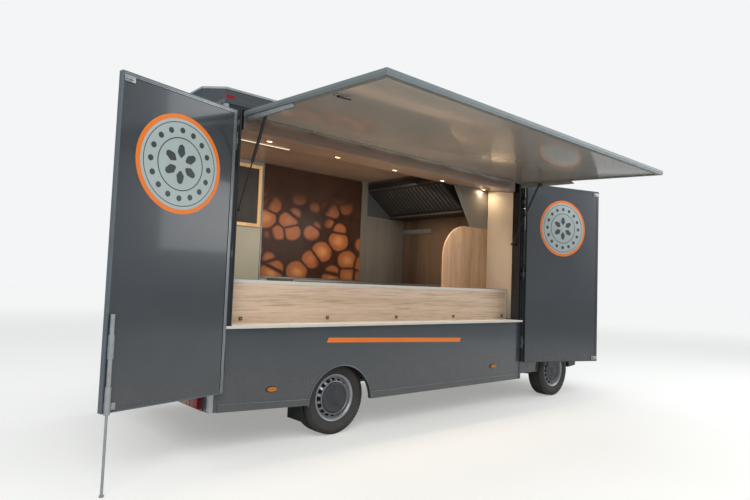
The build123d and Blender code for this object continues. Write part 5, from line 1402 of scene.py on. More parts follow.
@dataclass
class Interior:
    """Linings, lamps, boards and steelwork inside the kitchen."""

    rear_x: float = 40
    front_x: float = 4160
    far_y: float = 1060
    start_y: float = -1000
    low_z: float = 2690
    slope: float = 91 / 600
    fold_y: float = -400
    foot_z: float = 565
    worktop_z: float = 1465
    steel_top: float = 2436
    top_z: float = 2931
    picture_x: Span = (1646, 3275)
    hood_x: Span = (3400, 3850)
    hood_z: Span = (2797, 2480)
    hood_y: Span = (-390, 1060)
    baffles: int = 20
    hooks: int = 8
    glow_z: float = 2600
    spots: tuple[Span, ...] = ((662, -703), (1515, -642), (2376, -600), (3184, -602), (3991, -614))

    def under(self, y: float) -> float:
        """The height of the ceiling's sloping underside at a place across the vehicle."""
        return self.low_z + self.slope * (y - self.start_y)

    def across(self, points: Flat, x: float, thick: float, draft: Draft, finish: Finish) -> None:
        """A flat board across the vehicle, outlined in Y and Z."""
        draft.prism([(x, *p) for p in points], (thick, 0, 0), finish, 0.5)

    def far_wall(self) -> None:
        """The far wall: plain lining, the printed panel and the steel of the cooking place."""
        draft = Draft("far_wall_lining")
        y = (self.far_y - 3.4, self.far_y - 0.4)
        edge, proud = (y[0] - 5, y[1]), (y[0] - 9, y[0] - 0.2)
        rear, front = self.picture_x
        full, above = (self.foot_z, self.top_z), (self.worktop_z, self.top_z)
        for x, deep, z, finish, bevel in (
                ((44, 812), y, full, GREY_LINING, 0.8), ((814, rear - 18), y, full, GREY_LINING, 0.8),
                ((rear, 1756), y, (self.foot_z, 1458), GREY_LINING, 0.8),
                (self.picture_x, (y[0] - 1.0, y[1]), (1489, self.top_z), WALL_PRINT, 0.8),
                ((front + 8, self.hood_x[0] - 2), y, above, STAINLESS, 0.8),
                ((self.hood_x[0], self.front_x - 5), y, (self.worktop_z, self.steel_top), STAINLESS, 0.8),
                ((rear - 16, rear - 1), edge, full, ALUMINIUM, 1.2),
                ((front + 1, front + 7), edge, above, ALUMINIUM, 1.2),
                (self.picture_x, edge, (1464, 1487), ALUMINIUM, 1.2),
                ((44, rear - 18), proud, (2900, 2915), ALUMINIUM, 1.2),
                ((44, rear - 18), proud, (self.foot_z + 1, 640), SATIN_BLACK, 2)):
            draft.box(x, deep, z, finish, bevel)
        draft.piece("root", "kitchen_steel")

    def front_wall(self) -> None:
        """The front wall: brushed sheets behind the cooking place, a beige lining before it."""
        draft = Draft("front_wall_lining")
        x = self.front_x - 3.4
        # The sheets behind the cooking place carry a painted brown reflection.
        for y in ((-540, -22), (-20, 498), (500, 1054)):
            board = [(y[0], self.worktop_z), (y[1], self.worktop_z), (y[1], self.steel_top), (y[0], self.steel_top)]
            self.across(board, x, 3, draft, BROWN_REFLECTION_STEEL)
        y = (-540, self.hood_y[0] - 3)
        top = [(y[1], self.under(y[1]) - 4 - 1.5), (y[0], self.under(y[0]) - 4)]
        self.across([(y[0], 2438), (y[1], 2438), *top], x, 3, draft, STAINLESS)
        points = [(-1056, 1060), (-905, 1060), (-905, 1434), (-563, 1434), (-563, self.under(-563) - 4),
                  (self.start_y, self.low_z - 4), (-1056, self.low_z - 4)]
        self.across(points, x, 3, draft, BEIGE_LINING)
        draft.box((x - 17, x - 0.3), (450, 1050), (2228, 2296), GLOSS_BLACK, 3)
        unit = Draft("hook")
        unit.bar([(x - 17, 0, 2262), (x - 34, 0, 2252), (x - 38, 0, 2226), (x - 30, 0, 2212),
                  (x - 22, 0, 2220)], 3.2, ZINC, 8)
        draft.repeated(unit, self.hooks, (0, 505, 0), (0, 70, 0))
        draft.spun([(13, 0.2), (13, 5), (7, 7), (0, 7)], (x, -963, 2027), -X_AXIS, ZINC, 20)
        draft.bar([(x - 5, -963, 2027), (x - 34, -963, 2024), (x - 42, -963, 2036)], 4, ZINC, 8)
        draft.piece("root", "kitchen_steel")

    def rear_wall(self) -> None:
        """The rear wall's lining round the staff door, with the door's frame."""
        draft = Draft("rear_wall_lining")
        x = self.rear_x + 0.4
        fold = self.fold_y + 3
        low, top = self.foot_z, self.top_z
        kerb = [(-1056, low), (-100, low), (-100, top), (fold, top), (fold, self.under(self.fold_y) - 4),
                (self.start_y, self.low_z - 4), (-1056, self.low_z - 4)]
        far = [(652, low), (1054, low), (1054, top), (652, top)]
        above = [(-98, 2502), (650, 2502), (650, top), (-98, top)]
        for board in (kerb, far, above):
            self.across(board, x, 3, draft, BEIGE_LINING)
        path = [(self.rear_x + 3.6, y, z) for y, z in ((-99, 562), (-99, 2499), (649, 2499), (649, 562))]
        draft.strip(path, [(-4, 0), (26, 0), (26, 3), (2, 9), (-4, 9)], X_AXIS, ALUMINIUM)
        draft.piece("root", "lining")

    def header_lining(self) -> None:
        """The thin brown skin on the header's front and underside."""
        draft = Draft("header_skin")
        draft.box((201, 4072), (-1055.7, -1054.3), (2688.4, 2836), BROWN_CEILING, 0.3)
        draft.box((201, 4072), (-1054.1, -1001), (2688.4, 2689.7), BROWN_CEILING, 0.3)
        draft.piece("root", "lining")

    def lamps(self) -> None:
        """Five flush spots and a strip lamp on the ceiling's sloping part."""
        draft = Draft("ceiling_lamps")
        down = Vector((0, self.slope, -1)).normalized()
        for x, y in self.spots:
            place = (x, y, self.under(y))
            draft.spun([(27, 0.3), (42, 0.3), (42, 2.4), (38, 4.6), (29, 4.6), (27, 3)], place, down, ZINC, 40,
                       closed=True)
            draft.spun([(26.6, 0.3), (26.6, 3.4), (18, 6.5), (0, 8.0)], place, down, SPOT_LIGHT, 32)
        along = Vector((0, 1, self.slope)).normalized()
        start = Vector((498, -424, self.under(-424)))
        for low, high, width, finish in ((0.3, 7, 14, BEIGE_LINING), (7.2, 12, 9, STRIP_LIGHT)):
            ring = [start + along * (s * width) + down * t for s, t in
                    ((-1, low), (1, low), (1, high - 4), (0.7, high), (-0.7, high), (-1, high - 4))]
            draft.prism(ring, X_AXIS * 560, finish, 0.8)
        draft.piece("root", "amber_lens")

    def menu_board(self) -> None:
        """The blank slate in its pine frame on the far wall."""
        draft = Draft("menu_board")
        y = self.far_y - 4
        draft.box((1034, 1566), (y - 9, y - 1), (2134, 2846), SLATE, 1)
        path = level_rect((1000, 1600), (2100, 2880), 0)
        section = [(0, y - 22), (-38, y - 22), (-42, y - 18), (-42, y - 10), (-32, y - 9.5), (-32, y - 0.5),
                   (0, y - 0.5)]
        draft.strip(path, section, Y_AXIS, PINE, closed=True)
        draft.piece("root", "oak")

    def hood(self) -> None:
        """Bright baffles in the hood's slots, a grease channel and the fascia's edge."""
        draft = Draft("hood_baffles")
        run, fall = self.hood_x[1] - self.hood_x[0], self.hood_z[0] - self.hood_z[1]
        along = Vector((run, 0, -fall)).normalized()
        out = Vector((-fall, 0, -run)).normalized()
        middle = Vector(((self.hood_x[0] + self.hood_x[1]) / 2, 0, (self.hood_z[0] + self.hood_z[1]) / 2))
        pitch = (self.hood_y[1] - self.hood_y[0] - 30) / self.baffles
        unit = Draft("baffle")
        ring = [middle - along * 238 + out * t + Y_AXIS * s for s, t in
                ((-11, 0.5), (11, 0.5), (11, 3), (7, 5.5), (-7, 5.5), (-11, 3))]
        unit.prism(ring, along * 476, HOOD_TRIM)
        draft.repeated(unit, self.baffles, (0, self.hood_y[0] + 15 + pitch / 2, 0), (0, pitch, 0))
        y = (self.hood_y[0] + 4, self.hood_y[1] - 4)
        x, z = self.hood_x[1], 2440
        channel = [(x - 0.3, z + 6), (x - 0.3, z + 3), (x - 26, z + 3), (x - 26, z + 24), (x - 23.5, z + 24),
                   (x - 23.5, z + 6)]
        draft.prism([(p, y[0], q) for p, q in channel], Y_AXIS * (y[1] - y[0]), HOOD_TRIM)
        x, z = self.hood_x[0], self.hood_z[0]
        draft.box((x - 2.4, x - 0.3), y, (z + 1, z + 24), HOOD_TRIM, 0.6)
        draft.box((x - 2.4, x - 0.3), y, (2904, self.top_z), HOOD_TRIM, 0.6)
        draft.piece("root", "kitchen_steel")

    def counter(self) -> None:
        """The oak front's pale edges and the small fittings at its foot."""
        draft = Draft("counter_trims")
        draft.box((62, 4156), (-903.6, -900.3), (1400, 1429), PALE_EDGE, 0.8)
        draft.box((4124, 4156), (-903.6, -900.3), (1058, 1398), PALE_EDGE, 0.8)
        draft.box((62, 80), (-903.6, -900.3), (1058, 1398), PALE_EDGE, 0.8)
        for x in (344, 1276, 2194, 3118, 4056):
            draft.box((x - 15, x + 15), (-909, -900.4), (1079, 1110), BRONZE_FITTING, 2)
            draft.spun([(5, 0), (5, 1.6), (0, 2.2)], (x, -909, 1095), -Y_AXIS, ZINC, 12)
        draft.box((62, 4156), (-1152.6, -1150.3), (1031, 1053.5), PALE_EDGE, 0.8)
        draft.piece("root", "oak")

    def build(self) -> None:
        """Make every piece."""
        self.far_wall()
        self.front_wall()
        self.rear_wall()
        self.header_lining()
        self.lamps()
        self.menu_board()
        self.hood()
        self.counter()


# Cab

@dataclass
class Cab:
    """Seals, trims, lamps and seats of the cab."""

    frame: dict
    half: float = 1025
    bend_z: float = 1150
    lean: float = 112 / 1130
    narrow_x: float = 5370
    narrow: float = 131 / 550
    screen_foot: Span = (5560, 1340)
    screen_slope: float = 680 / 910
    window: tuple[Span, ...] = ((5024, 1400), (5024, 1735), (4780, 2060), (4440, 2060), (4390, 2000), (4390, 1400))
    quarter: tuple[Span, ...] = ((5290, 1410), (5120, 1640), (5120, 1410))
    screen: tuple[Span, ...] = ((-850, 1390), (-760, 2170), (760, 2170), (850, 1390))
    arch_radius: float = 425
    voxel: float = 0.006
    channel_half: float = 9
    channel_depth: float = 0.005

    def flank(self, x: float, z: float) -> float:
        """Half the cab's width at a place."""
        side = self.half - max(0.0, z - self.bend_z) * self.lean
        return min(side, self.half + 6 - max(0.0, x - self.narrow_x) * self.narrow)

    def pane(self, y: float, z: float, lift: float = 0.0) -> Vector:
        """A point on the windscreen's outer form, or off it by a lift."""
        x = self.screen_foot[0] - (z - self.screen_foot[1]) * self.screen_slope
        return Vector((x, y, z)) + Vector((1, 0, self.screen_slope)).normalized() * lift

    def beside(self, side: int, x: float, out: float, z: float) -> Point:
        """A point off the cab's flank by a distance."""
        return x, side * (self.flank(x, z) + out), z

    @staticmethod
    def bumper_face(z: float) -> float:
        """How far forward the bumper's face lies at a height."""
        return 6050 + (z - 360) / 14

    @staticmethod
    def door(side: int) -> str:
        """The body of the door on a side: only the left one opens."""
        return "cab_door_left" if side > 0 else "root"

    def seals(self) -> None:
        """Rubber seals round the panes, each turned into its reveal."""
        section = [(-7, 0.4), (-6, 2.6), (0, 3.4), (2.4, 1.6), (2.4, -16), (0.5, -16), (0.5, 0.4)]
        fixed = Draft("cab_window_seals")
        for side in (-1, 1):
            turned_section = [(s if side < 0 else -s, t) for s, t in section]
            own = Draft("door_window_seal") if side > 0 else fixed
            for points, draft in ((self.window, own), (self.quarter, fixed)):
                path = [(x, side * self.flank(x, z), z) for x, z in rounded(points, 14, 3)]
                draft.strip(path, turned_section, Y_AXIS * side, RUBBER_SEAL, closed=True)
            if side > 0:
                own.piece("cab_door_left", "cab_trim", sharp=50)
        path = [self.pane(y, z) for y, z in rounded(self.screen, 40, 4)]
        wide = [(-12, 0.4), (-11, 3), (0, 4), (2.4, 1.6), (2.4, -16), (0.5, -16), (0.5, 0.4)]
        fixed.strip(path, [(-s, t) for s, t in wide], self.pane(0, 0, 1) - self.pane(0, 0), RUBBER_SEAL, closed=True)
        fixed.piece("root", "cab_trim", sharp=50)

    def wipers(self) -> None:
        """Two wipers parked along the windscreen's foot."""
        draft = Draft("wipers")
        up = self.pane(0, 0, 1) - self.pane(0, 0)
        for pivot, hold, ends in (((640, 1366), (330, 1441), ((610, 1422), (50, 1460))),
                                  ((-20, 1366), (-330, 1441), ((-50, 1422), (-610, 1460)))):
            foot = self.pane(*pivot)
            draft.spun([(17, 0.3), (17, 8), (12, 15), (0, 16)], foot, up, MOULDED_BLACK, 24)
            arm = [self.pane(*pivot, 12), self.pane(pivot[0] - 60, pivot[1] + 14, 14), self.pane(*hold, 6)]
            draft.strip(arm, [(-7, -2.5), (7, -2.5), (5, 3), (-5, 3)], up, MOULDED_BLACK)
            blade = [self.pane(*ends[0], -8), self.pane(*hold, -5), self.pane(*ends[1], -8)]
            draft.strip(blade, [(-6, 0), (6, 0), (3, 8), (-3, 8)], up, MOULDED_BLACK)
            draft.strip([p - up * 5 for p in blade], [(-1.2, -4.6), (1.2, -4.6), (2.4, 5), (-2.4, 5)], up, RUBBER_SEAL)
        draft.piece("root", "cab_trim")

    def side_trims(self) -> None:
        """Door handles, locks, rub strips and lips on the wheel arches."""
        strip = [(0.4, 905), (0.4, 975), (7, 970), (11, 957), (11, 923), (7, 910)]
        for side in (-1, 1):
            own = Draft(f"door_trims_{'left' if side > 0 else 'right'}")
            shell = Draft(f"cab_side_trims_{'left' if side > 0 else 'right'}")
            y = side * self.half
            for draft, x in ((own, (4346, 5018)), (shell, (4248, 4318)), (shell, (5108, 5360))):
                ring = [(x[0], y + side * out, z) for out, z in strip]
                draft.prism(ring, X_AXIS * (x[1] - x[0]), MOULDED_BLACK, 1.5)
            dish = rounded([(4392, 1238), (4556, 1238), (4556, 1292), (4392, 1292)], 22)
            ring = [self.beside(side, x, 0.4, z) for x, z in dish]
            own.prism(ring, Y_AXIS * (side * 1.6), MOULDED_BLACK, 0.5)
            grip = [self.beside(side, x, out, 1268) for x, out in
                    ((4402, 2), (4412, 19), (4440, 26), (4508, 26), (4536, 19), (4546, 2))]
            own.strip(grip, [(-11, -4), (11, -4), (9, 4), (-9, 4)], Z_AXIS, MOULDED_BLACK)
            own.spun([(9, 0.2), (9, 2), (6, 3.4), (0, 3.4)], self.beside(side, 4590, 0.4, 1266), Y_AXIS * side, ZINC,
                     24)
            section = [(0, 0), (34, 0), (32, 5), (20, 9), (0, 9)]
            for draft, turn, radius in ((own, (96.0, 154.5), self.arch_radius * 1.074),
                                        (shell, (4, 93.5), self.arch_radius), (shell, (157.5, 177), self.arch_radius)):
                angles = [math.radians(turn[0] + (turn[1] - turn[0]) * k / 24) for k in range(25)]
                lip = [self.beside(side, FRONT_AXLE_X + radius * math.cos(a), 0.3, TYRE_RADIUS + radius * math.sin(a))
                       for a in angles]
                draft.strip(lip, [(s * side, t) for s, t in section], Y_AXIS * side, MOULDED_BLACK)
            for low, high in ((1366, 1458), (1472, 1676)):
                glass = rounded([(side * 1092, low), (side * 1234, low), (side * 1234, high), (side * 1092, high)], 18)
                own.prism([(4959.6, p, z) for p, z in glass], (-2, 0, 0), MIRROR, 0.6)
            own.piece(self.door(side), "cab_trim")
            shell.piece("root", "cab_trim")

    def nose(self) -> None:
        """Lamp bowls, indicators and frames, the mesh behind the grille and the blank plate."""
        skin = Skin(self.frame, ("headlamps",))
        bowl = [(70, 0), (58, -22), (38, -38), (14, -46), (0, -48), (0, -50), (16, -49), (40, -41), (60, -25), (72, 0)]
        draft = Draft("headlamp_bowls")
        for side in (-1, 1):
            for spot, size in (((5996, side * 642, 880), 1.0), ((5932, side * 762, 880), 0.72)):
                draft.spun([(r * size, h * size) for r, h in bowl], spot, X_AXIS, ZINC, 40, closed=True)
                draft.spun([(0, -44 * size), (9, -40 * size), (11, -26 * size), (7, -18 * size), (0, -16 * size)],
                           spot, X_AXIS, MIRROR, 20)
            draft.box((5860, 5884), sorted((side * 818, side * 846)), (806, 954), AMBER_LENS, 4)
            frame = rounded([(567, 776), (851, 776), (851, 984), (567, 984)], 20, 4)
            rim = []
            for a, b in zip(frame, frame[1:] + frame[:1]):
                parts = max(1, round(math.dist(a, b) / 36))
                for k in range(parts):
                    y, z = (p + (q - p) * k / parts for p, q in zip(a, b))
                    rim.append(skin.at(Vector((6300, side * y, z)), -X_AXIS))
            section = [(-7, 0.4), (7, 0.4), (5, 3.4), (-5, 3.4)]
            draft.strip(rim, section, Vector((0.85, side * 0.5, 0.1)).normalized(), MOULDED_BLACK, closed=True)
        draft.piece("root", "rim_silver")
        grille = Draft("grille_mesh")
        grille.box((6001, 6008), (-474, 474), (735, 925), RUBBER_SEAL, 2)
        unit = Draft("mesh_wire")
        unit.bar([(6008.6, -468, 0), (6008.6, 468, 0)], 1.4, SATIN_BLACK, 6)
        grille.repeated(unit, 19, (0, 0, 742), (0, 0, 9.8))
        upright = Draft("mesh_upright")
        upright.bar([(6009.4, 0, 738), (6009.4, 0, 922)], 1.4, SATIN_BLACK, 6)
        grille.repeated(upright, 67, (0, -462, 0), (0, 14, 0))
        grille.piece("root", "bumper_plastic")
        plate = Draft("front_plate")
        for low, high, half, out, thick, finish in ((424, 540, 264, 0.6, 5, MOULDED_BLACK),
                                                    (428, 536, 258, 5.8, 1.6, PLATE_BLANK)):
            outline = rounded([(-half, low), (half, low), (half, high), (-half, high)], 8)
            ring = [(self.bumper_face(z) + out, y, z) for y, z in outline]
            plate.prism(ring, X_AXIS * thick, finish, 0.5)
        plate.piece("root", "bumper_plastic")

    def dash(self) -> None:
        """Instrument hood, dials, air vents, gear lever and pedals."""
        draft = Draft("dashboard_fittings")
        hood = [(5214, 1232.6), (5206, 1262), (5232, 1296), (5300, 1312), (5352, 1300.6)]
        draft.prism([(x, 270, z) for x, z in hood], Y_AXIS * 300, MOULDED_BLACK, 8)
        tilt = Vector((-1, 0, 0.24)).normalized()
        for y in (350, 490):
            draft.spun([(44, 0), (44, 3), (50, 4), (50, 0)], (5208, y, 1254), tilt, RUBBER_SEAL, 32, closed=True)
        for y in (-860, -250, 60, 860):
            draft.box((5163, 5196), (y - 62, y + 62), (1128, 1186), RUBBER_SEAL, 6)
            unit = Draft("vent_bar")
            unit.box((5158, 5163.5), (y - 54, y + 54), (-2.5, 2.5), MOULDED_BLACK, 1)
            draft.repeated(unit, 4, (0, 0, 1139), (0, 0, 12))
        draft.bar([(5150, 60, 900), (5090, 60, 985), (5075, 60, 1040)], 8, MOULDED_BLACK)
        draft.spun([(0, 0), (22, 8), (27, 26), (20, 44), (0, 50)], (5074, 60, 1032), Z_AXIS, MOULDED_BLACK, 24)
        draft.box((5060, 5235), (10, 110), (862, 905), MOULDED_BLACK, 8)
        for y in (330, 440, 520):
            draft.bar([(5350, y, 870), (5290, y, 760), (5262, y, 690)], 8, SATIN_BLACK)
            draft.box((5238, 5262), (y - 32, y + 32), (650, 712), RUBBER_SEAL, 5)
        draft.piece("root", "cab_trim")

    def seat_frames(self) -> None:
        """The seats' painted boxes, runners and shells."""
        draft = Draft("seat_frames")
        for y, width in ((420, 500), (-330, 780)):
            half = width / 2
            draft.box((4382, 4718), (y - half + 32, y + half - 32), (600, 822), MOULDED_BLACK, 14)
            for edge in (y - half + 48, y + half - 88):
                draft.box((4384, 4716), (edge, edge + 40), (561, 600), ZINC, 3)
            for edge in (-70, 50):
                draft.bar([(4385, y + edge + 10, 1480), (4384, y + edge + 10, 1530)], 6, ZINC)
        draft.piece("root", "cab_trim", ("seats",))

    def cushion(self, name: str, points: list[Point], shift: Vector, channels: tuple[Vector, float, float],
                cap: float) -> None:
        """One stuffed cushion, swollen by a cloth simulation.

        Args:
            name: the piece's name.
            points: the outline of its side, in the vehicle's millimetres.
            shift: from one side to the other.
            channels: the direction across its sewn channels, where the first lies and their pitch.
            cap: how far a point may move, in millimetres.
        """
        draft = Draft(name)
        draft.prism(points, shift, SEAT_CLOTH, 26)
        made = draft.piece("root", "seat_cloth")
        shape = remeshed(made, self.voxel)
        shape = swollen(made, shape, cap * MM)
        across, first, pitch = channels
        for vertex in shape.vertices:
            place = (VEHICLE.inverted() @ vertex.co).dot(across)
            near = abs((place - first + pitch / 2) % pitch - pitch / 2)
            edge = vertex.normal.z > 0.35 or vertex.normal.x > 0.35
            if near < self.channel_half and edge:
                vertex.co -= vertex.normal * (self.channel_depth * (1 - near / self.channel_half) ** 2)
        shape.materials.clear()
        shape.materials.append(PALETTE.get(SEAT_CLOTH))
        for polygon in shape.polygons:
            polygon.use_smooth = True
        made.data = shape
        levels = made.modifiers.new("finish", "SUBSURF")
        levels.levels = levels.render_levels = 1
        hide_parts("seats")

    def seats(self) -> None:
        """The cushions of the driver's seat and of the double seat."""
        for label, y, width in (("driver", 420, 500), ("double", -330, 780)):
            half = width / 2 - 14
            level = [(x, y - half, z) for x, z in ((4392, 836), (4838, 836), (4838, 934), (4392, 928))]
            self.cushion(f"{label}_cushion", level, Y_AXIS * (2 * half), (Y_AXIS, y - width / 6, width / 3), 13)
            back = [(x, y - half + 8, z) for x, z in ((4424, 955), (4496, 955), (4430, 1484), (4364, 1484))]
            self.cushion(f"{label}_back", back, Y_AXIS * (2 * half - 16), (Y_AXIS, y - width / 6, width / 3), 12)
            head = [(x, y - 116, z) for x, z in ((4352, 1508), (4418, 1508), (4414, 1676), (4354, 1676))]
            self.cushion(f"{label}_headrest", head, Y_AXIS * 232, (Z_AXIS, 1400, 400), 9)

    def build(self) -> None:
        """Make every piece."""
        self.seals()
        self.wipers()
        self.side_trims()
        self.nose()
        self.dash()
        self.seat_frames()
        self.seats()


# Rear face and underside

@dataclass
class Outfit:
    """Fittings of the rear face, the staff door and the underside."""

    rail_y: float = -190
    rail_z: Span = (1000, 1700)
    handle_y: float = -57
    pipe_z: float = 494

    def rear_face(self) -> None:
        """Lamp segments, blank plate, grab rail, power inlet and vent."""
        draft = Draft("rear_fittings")
        for side in (-1, 1):
            for y, finish in (((716, 776), AMBER_LENS), ((782, 846), LAMP_GLASS), ((852, 974), RED_LENS)):
                draft.box((-41, -38.3), sorted((side * y[0], side * y[1])), (386, 464), finish, 1.2)
            draft.spun([(30, 0.3), (30, 5), (26, 7), (0, 8)], (-10, side * 620, 480), -X_AXIS, RED_LENS, 32)
        plate = rounded([(-600, 384), (-80, 384), (-80, 494), (-600, 494)], 8)
        draft.prism([(-10.3, y, z) for y, z in plate], (-2.2, 0, 0), PLATE_BLANK, 0.5)
        low, high = self.rail_z
        rail = [(x, self.rail_y, z) for x, z in ((-0.4, low), (-46, low + 4), (-58, low + 24), (-58, high - 24),
                                                 (-46, high - 4), (-0.4, high))]
        draft.bar(rail, 12, ALUMINIUM, 16)
        for z in self.rail_z:
            draft.spun([(27, 0.3), (27, 4), (20, 7), (0, 7)], (0, self.rail_y, z), -X_AXIS, ALUMINIUM, 28)
        draft.box((-30, -0.4), (-860, -760), (560, 680), MOULDED_BLACK, 8)
        draft.spun([(36, 0), (36, 8), (30, 12), (0, 12)], (-30, -810, 618), -X_AXIS, SATIN_BLACK, 32)
        draft.box((-9, -0.4), (700, 960), (2380, 2520), MOULDED_BLACK, 4)
        unit = Draft("louvre")
        ring = [(x, 712, z) for x, z in ((-9.4, 0), (-9.4, 9), (-19, -3), (-18, -5))]
        unit.prism(ring, Y_AXIS * 236, MOULDED_BLACK)
        draft.repeated(unit, 8, (0, 0, 2394), (0, 0, 15.4))
        draft.piece("root", "bumper_plastic")

    def staff_door(self) -> None:
        """The door's inner lining, lever, lock and kick plate."""
        draft = Draft("staff_door_fittings")
        draft.box((40.4, 43.0), (-86, 636), (574, 2486), BEIGE_LINING, 0.6)
        for x, out in ((0, -1), (43, 1)):
            draft.box(sorted((x + out * 0.4, x + out * 7)), (-74, -40), (1420, 1590), ZINC, 3)
            lever = [(x + out * reach, y, 1540) for reach, y in
                     ((7, self.handle_y), (40, self.handle_y), (48, self.handle_y + 9), (48, 62))]
            draft.bar(lever, 8, ZINC, 14)
        draft.spun([(11, 0), (11, 3), (8, 5), (0, 5)], (-7, self.handle_y, 1455), -X_AXIS, SATIN_BLACK, 24)
        draft.box((4.6, 6.8), (-50, 600), (612, 830), ALUMINIUM, 0.6)
        draft.piece("staff_door", "zinc_steel")

    def underside(self) -> None:
        """Brake pipes, handbrake cables, tank straps, exhaust clamps and mud flaps."""
        draft = Draft("underside_fittings")
        for k, y in enumerate((-404, -392, 396)):
            pipe = [*((x, y, self.pipe_z) for x in (5200, 4300, 1700)), (1420, y * 0.9, 470), (1360, y * 0.9, 420)]
            draft.bar(pipe, 4 if k < 2 else 6, ZINC if k < 2 else RUBBER_SEAL, 8)
        for x in (2450, 2950):
            band = rounded([(500, 345), (900, 345), (900, 490), (500, 490)], 40)
            section = [(0.5, -17), (2.2, -17), (2.2, 17), (0.5, 17)]
            draft.strip([(x, y, z) for y, z in band[::-1]], section, X_AXIS, ZINC, closed=True)
        for x, radius in ((2000, 25), (2700, 76), (3450, 25)):
            draft.spun([(radius, -14), (radius + 4, -14), (radius + 4, 14), (radius, 14)], (x, -660, 420), X_AXIS, ZINC,
                       40, closed=True)
        for side in (-1, 1):
            draft.box((922, 928), sorted((side * 818, side * 1052)), (175, 506), RUBBER_SEAL, 2)
        draft.piece("root", "engine")

    def build(self) -> None:
        """Make every piece."""
        self.rear_face()
        self.staff_door()
        self.underside()


# Studio

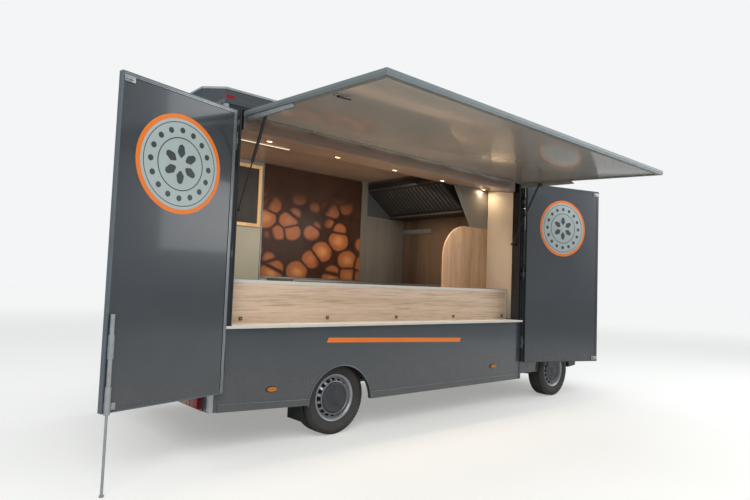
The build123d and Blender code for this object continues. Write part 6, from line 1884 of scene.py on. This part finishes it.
@dataclass
class Studio:
    """Floor, soft light and the camera at the photograph's viewing angle."""

    eye: Point = (-4.6736, -4.6090, 1.4232)
    yaw: float = 0.72052
    pitch: float = 0.0610
    roll: float = 0.03752
    focal: float = 576.8
    frame_width: float = 750

    def camera(self) -> None:
        """Place the camera."""
        data = bpy.data.cameras.new("camera")
        made = linked("camera", data)
        ahead = Vector((math.sin(self.yaw) * math.cos(self.pitch), math.cos(self.yaw) * math.cos(self.pitch),
                        math.sin(self.pitch)))
        right = Vector((math.cos(self.yaw), -math.sin(self.yaw), 0))
        up = right.cross(ahead)
        right, up = (right * math.cos(self.roll) + up * math.sin(self.roll),
                     up * math.cos(self.roll) - right * math.sin(self.roll))
        turn = Matrix((right, up, -ahead)).transposed().to_4x4()
        made.matrix_world = Matrix.Translation(Vector(self.eye)) @ turn
        data.sensor_width = 36
        data.lens = self.focal / self.frame_width * 36
        data.clip_end = 200
        bpy.context.scene.camera = made

    def floor(self) -> None:
        """A wide pale floor that meets the background."""
        mesh = bpy.data.meshes.new("studio_floor")
        half = 60
        mesh.from_pydata([(-half, -half, 0), (half, -half, 0), (half, half, 0), (-half, half, 0)], [], [(0, 1, 2, 3)])
        mesh.materials.append(PALETTE.get(STUDIO_FLOOR))
        linked("studio_floor", mesh)

    def lights(self) -> None:
        """A pale surround and three soft lamps."""
        world = bpy.data.worlds.new("surround")
        bpy.context.scene.world = world
        world.use_nodes = True
        tree = world.node_tree
        tree.nodes.clear()
        path = add_node(tree, "ShaderNodeLightPath").outputs
        seen = add_node(tree, "ShaderNodeMath", {0: path["Is Camera Ray"], 1: path["Is Transmission Ray"]},
                        operation="MAXIMUM")
        glow = add_node(tree, "ShaderNodeBackground", {"Color": rgba("#e9edf2"), "Strength": 0.62})
        plain = add_node(tree, "ShaderNodeBackground", {"Color": rgba("#f4f5f6"), "Strength": 1.0})
        mixed = add_node(tree, "ShaderNodeMixShader", {0: seen.outputs[0], 1: glow.outputs[0], 2: plain.outputs[0]})
        add_node(tree, "ShaderNodeOutputWorld", {0: mixed.outputs[0]})
        for name, spot, aim, size, power in (
                ("key", (-7, -8, 7.5), (0, 0, 1.2), 6, 620), ("fill", (8, -6, 5), (1, 0, 1.2), 6, 260),
                ("top", (0, 1, 9), (0, 0, 0), 7, 260)):
            self.lamp(name, spot, aim, size, power)
        inside = Interior()
        for k, (x, y) in enumerate(inside.spots):
            spot = VEHICLE @ Vector((x, y, inside.under(y) - 9))
            self.lamp(f"ceiling_spot_{k}", spot, spot - Z_AXIS, 0.07, 2.2, "#ffe3bf")
        for k, x in enumerate((1150, 3000)):
            glow = VEHICLE @ Vector((x, -350, inside.glow_z))
            self.lamp(f"inside_glow_{k}", glow, glow + Vector((0, 0.5, -1)), 1.3, 26, "#ffeedb")
        bounce = VEHICLE @ Vector((2100, -560, 1480))
        self.lamp("ceiling_bounce", bounce, bounce + Vector((0, 0.25, 1)), 1.8, 16, "#ffe9d0")

    def lamp(self, name: str, spot: Point, aim: Point, size: float, power: float, colour: str = "#ffffff") -> None:
        """One soft lamp that is not seen itself.

        Args:
            name: its name.
            spot: where it is, in metres.
            aim: a point that it looks at.
            size: its width in metres.
            power: its power in watts.
            colour: its colour.
        """
        data = bpy.data.lights.new(name, "AREA")
        data.shape = "DISK" if size < 3 else "SQUARE"
        data.size = size
        data.energy = power
        data.color = linear(colour)
        made = linked(name, data)
        made.location = spot
        made.rotation_euler = (Vector(aim) - Vector(spot)).to_track_quat("-Z", "Y").to_euler()
        made.visible_camera = False
        made.visible_glossy = name in ("key", "fill")

    def build(self) -> None:
        """Set up the studio."""
        bpy.context.scene.view_settings.view_transform = "Standard"
        self.camera()
        self.floor()
        self.lights()


NODE_FINISHES = {name: finish for finish, names in {
    FLOOR_COVER: "body_floor",
    BODY_PAINT: "kerb_wall far_wall front_wall rear_wall header rear_bumper staff_door flap wing_rear "
                "wing_front cab_shell cab_door_left cab_door_right bonnet",
    POST_PAINT_SHADED: "kerb_posts",
    ROOF_SHEET: "roof",
    BROWN_CEILING: "ceiling",
    CREAM_BOARD: "shelf",
    OAK_LEVEL: "counter",
    OAK_UPRIGHT: "wood_screen",
    STAINLESS: "kitchen_counter side_panel",
    DARK_STEEL: "exhaust_hood",
    MOULDED_BLACK: "bumper grille dashboard steering_wheel fuel_tank",
    LAMP_GLASS: "headlamps",
    CAB_GLASS: "cab_glass door_glass_left",
    SEAT_CLOTH: "seats",
    CAST_GREY: "engine_block",
    SATIN_BLACK: "chassis_frame rear_axle front_suspension knuckle_left knuckle_right",
    EXHAUST_STEEL: "exhaust",
    RED_LENS: "rear_lamps",
    AMBER_LENS: "side_markers",
    ZINC: "prop_tube prop_leg",
    GLOSS_BLACK: "strut_tube_rear strut_tube_front strut_rod_rear strut_rod_front",
    RIM_SILVER: "rim_front_left rim_front_right rim_rear_left rim_rear_right",
}.items() for name in names.split()}


def main() -> None:
    """Build the looks in order."""
    logging.basicConfig(level=logging.INFO, format="%(message)s")
    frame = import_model()
    dress(frame, NODE_FINISHES)
    Studio().build()
    BodyShell().build()
    Hatch().build()
    Wing(Way.REAR, 105, 1037, 14.5, 540).build()
    Wing(Way.FRONT, 4175, 1200, -18.7, 604, 2260).build()
    Wheels().build()
    Interior().build()
    Cab(frame).build()
    Outfit().build()


if __name__ == "__main__":
    main()
